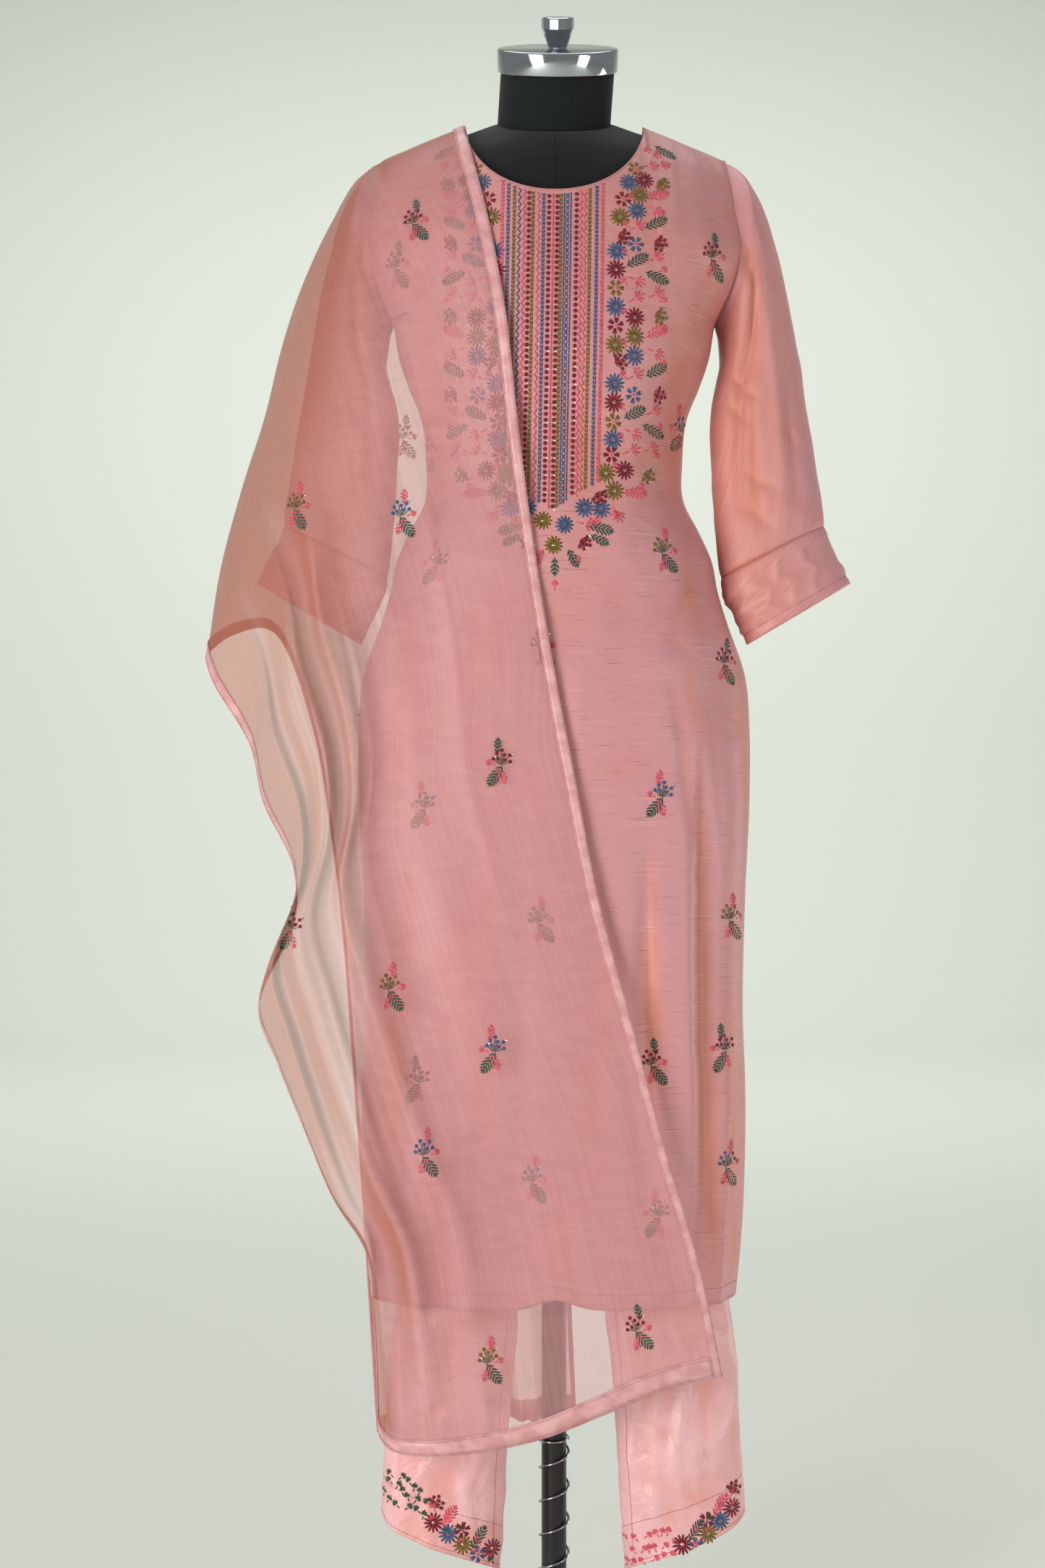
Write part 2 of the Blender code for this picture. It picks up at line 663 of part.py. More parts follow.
def smooth_depths(depths, passes):
    """Depths with each one moved toward its neighbours; the edges stay."""
    for _ in range(passes):
        inner = (depths[:-2, 1:-1] + depths[2:, 1:-1] + depths[1:-1, :-2] + depths[1:-1, 2:]) / 4
        depths[1:-1, 1:-1] = depths[1:-1, 1:-1] * 0.4 + inner * 0.6
    return depths


def press_out(points, side, tree):
    """Moves the lattice off what it covers, until the cells between its points are clear too."""
    samples = [(a, b) for a in PRESS_SAMPLES for b in PRESS_SAMPLES]
    rows, columns = points.shape[:2]
    for _ in range(PRESS_ROUNDS):
        push = np.zeros((rows, columns))
        for i in range(rows - 1):
            for j in range(columns - 1):
                twist = points[i, j] + points[i + 1, j + 1] - points[i, j + 1] - points[i + 1, j]
                clearance = DUPATTA_EASE + abs(twist[1]) / 4
                for a, b in samples:
                    near = points[i, j] * (1 - b) + points[i, j + 1] * b
                    far = points[i + 1, j] * (1 - b) + points[i + 1, j + 1] * b
                    sample = near * (1 - a) + far * a
                    need = side * (lay_on(sample, tree, side, clearance) - sample[1])
                    push[i : i + 2, j : j + 2] = np.maximum(push[i : i + 2, j : j + 2], need)
        push[0 if side > 0 else -1] = 0.0
        points[:, :, 1] += side * push


def drape_lattice(edges, folds, columns, rows, side, tree):
    """Rows of the sheet between its edges, laid on what it covers."""
    points = np.array([[blend_edges(*edges, u, v) for u in columns] for v in rows])
    for i, v in enumerate(rows):
        for j, u in enumerate(columns):
            points[i, j, 1] += side * drape_depth(folds, u, v)
            points[i, j, 1] = lay_on(points[i, j], tree, side, DUPATTA_EASE)
    laid = points[:, :, 1].copy()
    smooth = smooth_depths(points[:, :, 1].copy(), 3)
    points[:, :, 1] = np.minimum(laid, smooth) if side < 0 else np.maximum(laid, smooth)
    press_out(points, side, tree)
    return points


def as_rows(points):
    return [[Vector(point) for point in row] for row in points]


def lifted(points, distance, inside):
    """Lattice moved out along the normals of its own grid, away from inside."""
    mesh = grid_mesh("lift", as_rows(points), inside)
    normals = np.array([vert.normal for vert in mesh.vertices]).reshape(points.shape)
    bpy.data.meshes.remove(mesh)
    return points + normals * distance


def shorten(points, gap):
    """Lattice with its last row pulled back by a gap."""
    points = points.copy()
    step = points[-2] - points[-1]
    length = np.linalg.norm(step, axis=1, keepdims=True)
    points[-1] += step / length * gap
    return points


def narrowed(points, gap):
    """Lattice with its first and last columns pulled in by a gap."""
    turned_rows = shorten(points.swapaxes(0, 1), gap)
    return shorten(turned_rows[::-1], gap)[::-1].swapaxes(0, 1)


def spread(*stops):
    """Places from 0 to 1: pairs of a stop and the number of steps up to it."""
    places = [0.0]
    for stop, count in stops:
        start = places[-1]
        places += [start + (stop - start) * k / count for k in range(1, count + 1)]
    return places


PRESS_SAMPLES = (0.0, 0.25, 0.5, 0.75, 1.0)
PRESS_ROUNDS = 6
COLUMNS = spread((0.022, 1), (0.50, 5), (0.978, 10), (1.0, 1))
TOP_STEPS = (0.0, 0.002, 0.0075, 0.0165, 0.030, 0.048, 0.070)
FRONT_ROWS = spread((0.016, 1), (1 - TOP_STEPS[-1], 17))
FRONT_TOP_ROWS = [1 - step for step in reversed(TOP_STEPS)]
BACK_TOP_ROWS = list(TOP_STEPS)
BACK_ROWS = [0.07, 0.11, 0.16, 0.22, 0.30, 0.39, 0.48, 0.57, 0.66, 0.75, 0.84, 0.92, 0.986, 1.0]


def add_dupatta(organza, satin):
    front_edges = [Track(rows) for rows in (FRONT_INNER, FRONT_OUTER, FRONT_END, SHOULDER)]
    back_edges = [Track(rows) for rows in (BACK_INNER, BACK_OUTER, SHOULDER, BACK_END)]
    tree = hidden_surface(
        ["form_torso", "kameez_front", "kameez_back", "sleeve_right", "cuff_right"]
        + ["trouser_front_left", "trouser_front_right"]
    )
    front = drape_lattice(front_edges, FRONT_DRAPE, COLUMNS, FRONT_ROWS + FRONT_TOP_ROWS[1:], -1, tree)
    back = drape_lattice(back_edges, BACK_DRAPE, COLUMNS, BACK_TOP_ROWS + BACK_ROWS[1:], 1, tree)
    split = len(FRONT_ROWS)
    top_split = len(BACK_TOP_ROWS)
    hanging = shorten(front[:split], SEAM_GAP)
    shoulder = np.concatenate([front[split - 1 :], back[:top_split]])
    shoulder = shorten(shoulder, SEAM_GAP)
    behind = back[top_split - 1 :]
    front_inside = (-0.08, 0.30, 0.90)
    top_inside = (-0.16, 0.010, 1.35)
    back_inside = (-0.10, -0.20, 0.80)
    stretches = (
        ("front", hanging, front_inside),
        ("shoulder", shoulder, top_inside),
        ("back", behind, back_inside),
    )
    for name, points, inside in stretches:
        cloth(f"dupatta_{name}", as_rows(points), organza, ORGANZA, inside, outward=True)
        raised = lifted(points, ORGANZA + SEAM_GAP, inside)
        for edge, strip in (("inner", raised[:, :2]), ("outer", raised[:, -2:])):
            full = f"dupatta_binding_{edge}_{name}"
            cloth(full, as_rows(strip), satin, BINDING, inside, outward=True)
    front_band = narrowed(lifted(hanging, ORGANZA + SEAM_GAP, front_inside)[:2, 1:-1], CORNER_GAP)
    back_band = narrowed(lifted(behind, ORGANZA + SEAM_GAP, back_inside)[-2:, 1:-1], CORNER_GAP)
    cloth("dupatta_end_front", as_rows(front_band), satin, BINDING, front_inside, outward=True)
    cloth("dupatta_end_back", as_rows(back_band), satin, BINDING, back_inside, outward=True)


# Dress form and stand

FORM_SIDES = 24
FORM_HEIGHTS = (FORM_BOTTOM, 0.92, 0.98, 1.04, 1.10, 1.155, 1.20, 1.26, 1.303, 1.35, 1.40, 1.45, 1.50, 1.54)
FORM_TOP_STEPS = 6


def form_inset(side, height):
    """Room between form and kameez: more in front below the waist, for the trousers."""
    if side > 0:
        return FORM_INSET
    return FORM_INSET + (FORM_WAIST_INSET - FORM_INSET) * ease(1.26, 1.19, height)


def seam_point(angle, radius):
    """Point of the neck seam, a slanted round."""
    x = radius * math.sin(angle)
    y = -radius * math.cos(angle)
    return Vector((x, y, NECK_SEAM_HEIGHT + NECK_SEAM_SLOPE * y))


def form_ring(height, rise):
    """Ring of the torso. rise runs from 0 at the last level ring to 1 at the neck seam."""
    ring = []
    for k in range(FORM_SIDES + 1):
        angle = 2 * math.pi * k / FORM_SIDES
        side = -1 if math.cos(angle) >= 0 else 1
        seam = seam_point(angle, NECK_RADIUS)
        level = height + (seam.z - height) * rise
        inset = form_inset(side, level)
        limit = 1.0
        if level > SHOULDER_TIP[1] - FORM_DROP:
            tip_x, tip_z = SHOULDER_TIP
            neck_x, neck_z = NECK_POINT
            x = tip_x - (level + FORM_DROP - tip_z) * (tip_x - neck_x) / (neck_z - tip_z)
            x = max(x, NECK_RADIUS)
            squareness = body_track.at(level)[3]
            limit = min(1.0, (x / (body_track.at(level)[0] - inset)) ** (squareness / 2))
        drop = FORM_DROP + FORM_BACK_DROP * max(-math.cos(angle), 0.0)
        point = body_point(side, math.sin(angle) * limit, level, inset, drop)
        ring.append(point.lerp(seam, ease(0.60, 1.0, rise)))
    return ring


def add_form(cover):
    rings = [form_ring(height, 0.0) for height in FORM_HEIGHTS]
    rings += [form_ring(FORM_HEIGHTS[-1], k / FORM_TOP_STEPS) for k in range(1, FORM_TOP_STEPS + 1)]
    capped_tube("form_torso", rings, cover, (0.0, 0.0, 1.2))
    low = [seam_point(2 * math.pi * k / FORM_SIDES, NECK_RADIUS) for k in range(FORM_SIDES + 1)]
    tilt = Matrix.Rotation(CAP_TILT, 3, "X")
    cap_bottom = Vector(CAP_TOP) - tilt @ Vector((0.0, 0.0, CAP_HEIGHT + SEAM_GAP))
    high = []
    for k in range(FORM_SIDES + 1):
        angle = 2 * math.pi * k / FORM_SIDES
        spoke = Vector((NECK_RADIUS * math.sin(angle), -NECK_RADIUS * math.cos(angle), 0.0))
        high.append(cap_bottom + tilt @ spoke)
    lift = Vector((0.0, 0.0, SEAM_GAP))
    neck = [[(a + lift).lerp(b, part) for a, b in zip(low, high)] for part in (0, 0.3, 0.65, 1)]
    capped_tube("form_neck", neck, cover, (0.0, 0.0, 1.63))


def add_cap(chrome):
    """Chrome cap on the neck, with a small hole in its side, and a faceted knob."""
    tilt = Matrix.Rotation(CAP_TILT, 4, "X")
    place = Matrix.Translation(CAP_TOP) @ tilt
    edge = 0.0015
    profile = (
        (0.0, 0.0),
        (CAP_RADIUS - edge, 0.0),
        (CAP_RADIUS, -edge),
        (CAP_RADIUS, -CAP_HEIGHT + edge),
        (CAP_RADIUS - edge, -CAP_HEIGHT),
        (0.0, -CAP_HEIGHT),
    )
    cap = turned("neck_cap", profile, 40, chrome)
    cap.matrix_world = place
    drill = bmesh.new()
    bmesh.ops.create_cone(drill, cap_ends=True, segments=12, radius1=0.0021, radius2=0.0021, depth=0.008)
    drill_mesh = bpy.data.meshes.new("cap_hole_cutter")
    drill.to_mesh(drill_mesh)
    drill.free()
    cutter = bpy.data.objects.new("cap_hole_cutter", drill_mesh)
    cutters.objects.link(cutter)
    angle = math.radians(-25)
    spot = Vector((CAP_RADIUS * math.cos(angle), CAP_RADIUS * math.sin(angle), -CAP_HEIGHT / 2))
    heading = Matrix.Rotation(angle, 4, "Z") @ Matrix.Rotation(math.radians(90), 4, "Y")
    cutter.matrix_world = place @ Matrix.Translation(spot) @ heading
    cutter.hide_render = True
    cutter.display_type = "WIRE"
    cut = cap.modifiers.new("Hole", "BOOLEAN")
    cut.operation = "DIFFERENCE"
    cut.object = cutter
    knob_profile = (
        (0.0, 0.0300),
        (0.0150, 0.0300),
        (0.0163, 0.0286),
        (0.0163, 0.0190),
        (0.0092, 0.0003),
        (0.0, 0.0003),
    )
    knob = turned("neck_cap_knob", knob_profile, 12, chrome)
    knob.matrix_world = place


def add_stand(black, chrome):
    bevel = 0.002
    base_profile = (
        (0.0, SOCKET_FLOOR),
        (POLE_RADIUS + SEAM_GAP, SOCKET_FLOOR),
        (POLE_RADIUS + SEAM_GAP, COLLAR_HEIGHT),
        (COLLAR_RADIUS - bevel, COLLAR_HEIGHT),
        (COLLAR_RADIUS, COLLAR_HEIGHT - bevel),
        (COLLAR_RADIUS, BASE_THICKNESS + 0.006),
        (COLLAR_RADIUS + 0.006, BASE_THICKNESS),
        (BASE_RADIUS - 0.008, BASE_THICKNESS - 0.002),
        (BASE_RADIUS, BASE_THICKNESS - 0.008),
        (BASE_RADIUS, 0.0015),
        (BASE_RADIUS - 0.0015, 0.0),
        (0.0, 0.0),
    )
    turned("stand_base", base_profile, 32, black)
    pole_profile = (
        (0.0, FORM_BOTTOM - SEAM_GAP),
        (POLE_RADIUS, FORM_BOTTOM - SEAM_GAP),
        (POLE_RADIUS, SOCKET_FLOOR + SEAM_GAP),
        (0.0, SOCKET_FLOOR + SEAM_GAP),
    )
    turned("stand_pole", pole_profile, 24, black)
    add_spring(chrome)


def add_spring(chrome):
    """Spring wound round the pole: right-handed turns between two closed ones."""
    low = COLLAR_HEIGHT + SPRING_WIRE + SEAM_GAP
    per_turn = 11
    closed_pitch = 2 * SPRING_WIRE + 0.0006
    open_turns = (SPRING_TOP - low - 2 * closed_pitch) / SPRING_PITCH
    turns = open_turns + 2
    count = math.ceil(turns * per_turn)
    curve = bpy.data.curves.new("stand_spring", "CURVE")
    curve.dimensions = "3D"
    curve.bevel_depth = SPRING_WIRE
    curve.bevel_resolution = 2
    curve.use_fill_caps = True
    spline = curve.splines.new("POLY")
    spline.points.add(count)
    for k, point in enumerate(spline.points):
        turn = turns * k / count
        rise = min(turn, 1) * closed_pitch
        rise += min(max(turn - 1, 0), open_turns) * SPRING_PITCH
        rise += max(turn - 1 - open_turns, 0) * closed_pitch
        angle = 2 * math.pi * turn
        x = SPRING_RADIUS * math.cos(angle)
        y = SPRING_RADIUS * math.sin(angle)
        point.co = (x, y, low + rise, 1.0)
    curve.materials.append(chrome)
    spring = bpy.data.objects.new("stand_spring", curve)
    suit.objects.link(spring)


# The whole part

for old in list(bpy.data.objects):
    bpy.data.objects.remove(old, do_unlink=True)

suit = bpy.data.collections.new("salwar_kameez_suit")
cutters = bpy.data.collections.new("cutters")
bpy.context.scene.collection.children.link(suit)
bpy.context.scene.collection.children.link(cutters)

silk_pink = add_material("silk_pink", (0.60, 0.25, 0.25), 0.42)
trouser_pink = add_material("trouser_pink", (0.70, 0.32, 0.32), 0.38)
organza_pink = add_material("organza_pink", (0.72, 0.34, 0.32), 0.5, alpha=0.5)
satin_pink = add_material("satin_pink", (0.76, 0.38, 0.36), 0.3)
form_black = add_material("form_black", (0.010, 0.011, 0.013), 0.85)
stand_black = add_material("stand_black", (0.008, 0.008, 0.009), 0.35)
chrome_metal = add_material("chrome_metal", (0.62, 0.62, 0.62), 0.12, metallic=1.0)

add_kameez(silk_pink)
add_trousers(trouser_pink)
add_form(form_black)
add_cap(chrome_metal)
add_stand(stand_black, chrome_metal)
add_dupatta(organza_pink, satin_pink)
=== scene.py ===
# Looks of a salwar kameez suit on a dress form: cloth shells, embroidery, sheer dupatta, light and camera.
# Metres, +Z up, front towards -Y, the wearer's left at +X.
import math

import bmesh
import bpy
import numpy as np
from mathutils import Matrix, Vector
from mathutils.bvhtree import BVHTree


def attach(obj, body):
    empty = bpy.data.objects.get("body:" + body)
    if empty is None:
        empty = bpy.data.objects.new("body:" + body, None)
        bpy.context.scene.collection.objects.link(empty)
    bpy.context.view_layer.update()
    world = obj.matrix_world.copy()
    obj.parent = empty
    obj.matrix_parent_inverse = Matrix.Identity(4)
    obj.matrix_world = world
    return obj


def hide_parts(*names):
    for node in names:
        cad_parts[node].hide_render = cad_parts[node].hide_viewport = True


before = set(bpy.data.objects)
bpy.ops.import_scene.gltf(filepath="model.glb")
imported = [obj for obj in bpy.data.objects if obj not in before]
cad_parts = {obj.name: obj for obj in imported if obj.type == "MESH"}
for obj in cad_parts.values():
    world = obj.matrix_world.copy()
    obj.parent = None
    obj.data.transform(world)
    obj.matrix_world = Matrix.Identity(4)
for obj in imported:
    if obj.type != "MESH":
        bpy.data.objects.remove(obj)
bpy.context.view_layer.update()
scene = bpy.context.scene
print("frame loaded,", len(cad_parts), "CAD nodes")


# tables, grids and creases

def readRows(rows, places):
    # smooth curve through a table's rows, read along its first column
    table = np.array(rows, float)
    stops, values = table[:, 0], table[:, 1:]
    slopes = np.gradient(values, stops, axis=0)
    places = np.clip(np.asarray(places, float), stops[0], stops[-1])
    row = np.clip(np.searchsorted(stops, places, side="right") - 1, 0, len(stops) - 2)
    span = (stops[row + 1] - stops[row])[..., None]
    t = (places[..., None] - stops[row][..., None]) / span
    rise = t * t * (3 - 2 * t)
    curve = values[row] * (1 - rise) + values[row + 1] * rise
    return curve + slopes[row] * t * (1 - t) ** 2 * span + slopes[row + 1] * t * t * (t - 1) * span


def ease(low, high, value):
    t = np.clip((value - low) / (high - low), 0, 1)
    return t * t * (3 - 2 * t)


def bell(value, middle, width):
    return np.exp(-((value - middle) / width) ** 2)


def creaseField(x, z, rows):
    # soft ridge or trough along each row's bowed line, fading at both ends
    total = np.zeros_like(x)
    for x0, z0, x1, z1, width, lift, bow in rows:
        dx, dz = x1 - x0, z1 - z0
        length = math.hypot(dx, dz)
        t = ((x - x0) * dx + (z - z0) * dz) / length ** 2
        inside = np.clip(t, 0, 1)
        off = ((x - x0) * dz - (z - z0) * dx) / length - bow * np.sin(np.pi * inside)
        taper = np.sin(np.pi * inside) ** 0.8
        spread = width * (0.65 + 0.6 * inside)
        total += lift * taper / (1 + (off / spread) ** 2) ** 1.6
    return total


def softNoise(u, v, cell, seed):
    # smooth values from -1 to 1 on a lattice of that cell size
    table = np.random.default_rng(seed).uniform(-1, 1, (64, 64))
    a, b = u / cell, v / cell
    i, j = np.floor(a).astype(int), np.floor(b).astype(int)
    s, t = a - i, b - j
    s, t = s * s * (3 - 2 * s), t * t * (3 - 2 * t)
    low = table[i % 64, j % 64] * (1 - s) + table[(i + 1) % 64, j % 64] * s
    high = table[i % 64, (j + 1) % 64] * (1 - s) + table[(i + 1) % 64, (j + 1) % 64] * s
    return low * (1 - t) + high * t


def crumple(u, v, cell, seed):
    # pinched ridges of handled cloth, from 0 to 1
    warp = softNoise(u, v, cell * 2.3, seed + 5) * cell * 0.8
    return (1 - np.abs(softNoise(u + warp, v - warp, cell, seed))) ** 3


def latticeNormals(lattice, inside, closed=False):
    rows, columns = np.gradient(lattice, axis=0), np.gradient(lattice, axis=1)
    if closed:
        wrap = lattice[:, 1] - lattice[:, -2]
        columns[:, 0] = columns[:, -1] = wrap / 2
    normals = np.cross(columns, rows)
    normals /= np.linalg.norm(normals, axis=-1, keepdims=True) + 1e-12
    if (normals * (lattice - np.array(inside))).sum() < 0:
        normals = -normals
    return normals


def arcLengths(lattice):
    across = np.cumsum(np.linalg.norm(np.diff(lattice, axis=1), axis=-1), axis=1)
    across = np.concatenate([np.zeros((len(lattice), 1)), across], axis=1)
    across -= across[:, [lattice.shape[1] // 2]]
    along = np.cumsum(np.linalg.norm(np.diff(lattice, axis=0), axis=-1), axis=0)
    along = np.concatenate([np.zeros((1, lattice.shape[1])), along], axis=0)
    return across, along + lattice[:1, :, 2]


def finishedMesh(name, work):
    mesh = bpy.data.meshes.new(name)
    work.to_mesh(mesh)
    work.free()
    return mesh


def gridMesh(name, lattice, inside, closed=False, turn=None):
    # grid moved to the lattice, faces away from inside, with a UV map in metres and a point value, turn, that tells
    # where painted shade goes
    grid = bmesh.new()
    bmesh.ops.create_grid(grid, x_segments=lattice.shape[1] - 1, y_segments=lattice.shape[0] - 1, size=0.5)
    metres = grid.loops.layers.uv.new("metres")
    across, along = arcLengths(lattice)
    places = np.stack([across, along], -1).reshape(-1, 2).tolist()
    for vert, point in zip(grid.verts, lattice.reshape(-1, 3).tolist()):
        vert.co = point
    for face in grid.faces:
        for loop in face.loops:
            loop[metres].uv = places[loop.vert.index]
    if turn is not None:
        layer = grid.verts.layers.float.new("turn")
        for vert, value in zip(grid.verts, np.clip(turn, 0, 1).ravel().tolist()):
            vert[layer] = value
    if closed:
        bmesh.ops.remove_doubles(grid, verts=grid.verts[:], dist=0.00001)
    grid.normal_update()
    middle = Vector(inside)
    if sum(f.normal.dot(f.calc_center_median() - middle) * f.calc_area() for f in grid.faces) < 0:
        bmesh.ops.reverse_faces(grid, faces=grid.faces[:])
    mesh = finishedMesh(name, grid)
    mesh.shade_smooth()
    return mesh


def addPiece(name, mesh, material, replaced=()):
    mesh.materials.append(material)
    obj = bpy.data.objects.new(name, mesh)
    scene.collection.objects.link(obj)
    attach(obj, "root")
    if replaced:
        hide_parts(*replaced)
    return obj


laid = {}  # lattice and normals of each cloth, for the sewing


def addWall(obj, thickness, offset):
    wall = obj.modifiers.new("wall", "SOLIDIFY")
    wall.thickness = thickness
    wall.offset = offset


def addCloth(name, lattice, inside, wall, material, replaced, closed=False, outward=False, turn=None):
    normals = latticeNormals(lattice, inside, closed)
    laid[name] = lattice + normals * (wall if outward else 0), normals
    obj = addPiece(name, gridMesh(name, lattice, inside, closed, turn), material, replaced)
    addWall(obj, wall, 1.0 if outward else -1.0)
    return obj


def searchTree(objects):
    # nearest-surface tree of pieces as they show
    work = bmesh.new()
    bpy.context.view_layer.update()
    graph = bpy.context.evaluated_depsgraph_get()
    for obj in objects:
        work.from_object(obj, graph)
    tree = BVHTree.FromBMesh(work)
    work.free()
    return tree


# materials

def setInputs(tree, node, inputs):
    # links or sets a node's inputs, by name or by number; colours come without their alpha
    for key, value in inputs.items():
        socket = node.inputs[key]
        if isinstance(value, bpy.types.NodeSocket):
            tree.links.new(value, socket)
        else:
            socket.default_value = (*value, 1) if socket.type == "RGBA" else value


def newMaterial(name, color, roughness, metallic=0.0):
    material = bpy.data.materials.new(name)
    material.use_nodes = True
    tree = material.node_tree
    shader = tree.nodes["Principled BSDF"]
    setInputs(tree, shader, {"Base Color": color, "Roughness": roughness, "Metallic": metallic})
    return material, tree, shader


def addNode(tree, kind, inputs=None, **settings):
    node = tree.nodes.new(kind)
    for key, value in settings.items():
        setattr(node, key, value)
    setInputs(tree, node, inputs or {})
    return node


def mathNode(tree, operation, first, second=0.0, third=0.0):
    return addNode(tree, "ShaderNodeMath", {0: first, 1: second, 2: third}, operation=operation).outputs[0]


def product(tree, first, second):
    return mathNode(tree, "MULTIPLY", first, second)


def weighted(tree, value, weight, rest):
    return mathNode(tree, "MULTIPLY_ADD", value, weight, rest)


def uvPlace(tree):
    return addNode(tree, "ShaderNodeUVMap", uv_map="metres").outputs[0]


def objectPlace(tree):
    return addNode(tree, "ShaderNodeTexCoord").outputs["Object"]


def pointValue(tree, name, output="Fac"):
    return addNode(tree, "ShaderNodeAttribute", attribute_name=name).outputs[output]


def noiseNode(tree, place, stretch, detail=2.0, roughness=0.5, distortion=0.0):
    vector = addNode(tree, "ShaderNodeMapping", {"Vector": place, "Scale": stretch}).outputs[0]
    inputs = {"Vector": vector, "Scale": 1.0, "Detail": detail, "Roughness": roughness, "Distortion": distortion}
    return addNode(tree, "ShaderNodeTexNoise", inputs).outputs["Fac"]


def rangeNode(tree, value, low, high, newLow=0.0, newHigh=1.0):
    inputs = {"Value": value, "From Min": low, "From Max": high, "To Min": newLow, "To Max": newHigh}
    return addNode(tree, "ShaderNodeMapRange", inputs, interpolation_type="SMOOTHSTEP").outputs[0]


def mixColors(tree, factor, first, second, blend="MIX"):
    inputs = {0: factor, 6: first, 7: second}
    return addNode(tree, "ShaderNodeMix", inputs, data_type="RGBA", blend_type=blend).outputs[2]


def bumpNode(tree, height, strength, distance, under=None):
    inputs = {"Height": height, "Strength": strength, "Distance": distance}
    if under is not None:
        inputs["Normal"] = under
    return addNode(tree, "ShaderNodeBump", inputs).outputs[0]


def newGroup(name, numbers, outputs):
    # node group that takes a place and some numbers, and puts out numbers
    group = bpy.data.node_groups.new(name, "ShaderNodeTree")
    group.interface.new_socket("Vector", in_out="INPUT", socket_type="NodeSocketVector")
    for title, value in numbers.items():
        socket = group.interface.new_socket(title, in_out="INPUT", socket_type="NodeSocketFloat")
        socket.default_value = value
    for title in outputs:
        group.interface.new_socket(title, in_out="OUTPUT", socket_type="NodeSocketFloat")
    return group, group.nodes.new("NodeGroupInput"), group.nodes.new("NodeGroupOutput")


def makeWeave():
    # plain weave with slubs: crossing threads, dark and light thick places in the weft, slow colour drift
    outputs = ("Dark", "Light", "Drift", "Height")
    group, start, end = newGroup("slubWeave", {"Thread": 0.0006, "Slub": 0.66}, outputs)
    place, slub = start.outputs["Vector"], start.outputs["Slub"]
    parts = addNode(group, "ShaderNodeSeparateXYZ", {"Vector": place}).outputs
    turns = mathNode(group, "DIVIDE", 6.2832, start.outputs["Thread"])
    warp, weft = (mathNode(group, "SINE", product(group, parts[axis], turns)) for axis in (0, 1))
    cross = weighted(group, product(group, warp, weft), 0.5, 0.5)
    dark = mathNode(group, "SUBTRACT", noiseNode(group, place, (30, 950, 1), 2.0, 0.45), slub)
    dark = rangeNode(group, dark, 0.0, 0.07)
    light = mathNode(group, "SUBTRACT", noiseNode(group, place, (16, 620, 3), 1.0, 0.4), slub)
    light = rangeNode(group, light, 0.02, 0.10)
    streak = noiseNode(group, place, (9, 420, 1), 3.0, 0.6)
    slow = noiseNode(group, place, (5, 4, 1))
    drift = weighted(group, streak, 0.35, product(group, slow, 0.65))
    height = weighted(group, light, 0.8, product(group, streak, 0.35))
    height = weighted(group, dark, 0.6, weighted(group, cross, 0.18, height))
    setInputs(group, end, {"Dark": dark, "Light": light, "Drift": drift, "Height": height})
    return group


def makeHandling():
    # faint wrinkles of handled cloth, as a height
    group, start, end = newGroup("handling", {"Size": 30.0}, ("Height",))
    inputs = {"Vector": start.outputs["Vector"], "Scale": start.outputs["Size"], "Detail": 3, "Distortion": 1.2}
    noise = addNode(group, "ShaderNodeTexNoise", inputs).outputs["Fac"]
    pinch = mathNode(group, "ABSOLUTE", mathNode(group, "SUBTRACT", noise, 0.5))
    setInputs(group, end, {"Height": rangeNode(group, pinch, 0.0, 0.16, 1.0, 0.0)})
    return group


weave, handling = makeWeave(), makeHandling()


def makeSilk(name, look):
    # shot slub silk: two close pinks that drift, dark and pale slubs, soft warm sheen, and salmon painted as shade
    # where the point value turn says
    material, tree, shader = newMaterial(name, look["face"], look["roughness"])
    place = uvPlace(tree)
    threads = addNode(tree, "ShaderNodeGroup", {"Vector": place, "Slub": look["slub"]}, node_tree=weave).outputs
    wrinkles = addNode(tree, "ShaderNodeGroup", {"Vector": place, "Size": look["wrinkleScale"]}, node_tree=handling)
    drift = threads["Drift"]
    color = mixColors(tree, rangeNode(tree, drift, 0.36, 0.64), look["face"], look["drifted"])
    # painted shade: the salmon shade colour mixed in by the turn point value, varied a little by the drift
    turn = product(tree, pointValue(tree, "turn"), rangeNode(tree, drift, 0.3, 0.6, 0.75, 1.0))
    color = mixColors(tree, turn, color, look["turned"])
    color = mixColors(tree, product(tree, threads["Dark"], look["darkness"]), color, look["dark"])
    color = mixColors(tree, product(tree, threads["Light"], look["paleness"]), color, look["pale"])
    low = bumpNode(tree, wrinkles.outputs["Height"], look["wrinkles"], 0.002)
    setInputs(tree, shader, {
        "Base Color": color,
        "Roughness": rangeNode(tree, drift, 0.3, 0.7, look["roughness"] - 0.05, look["roughness"] + 0.07),
        "Normal": bumpNode(tree, threads["Height"], look["grain"], 0.0006, low),
        "Sheen Weight": look["sheen"], "Sheen Roughness": 0.35, "Sheen Tint": look["sheenTint"],
        "Specular IOR Level": look["specular"], "Specular Tint": (1.0, 0.82, 0.76),
    })
    return material


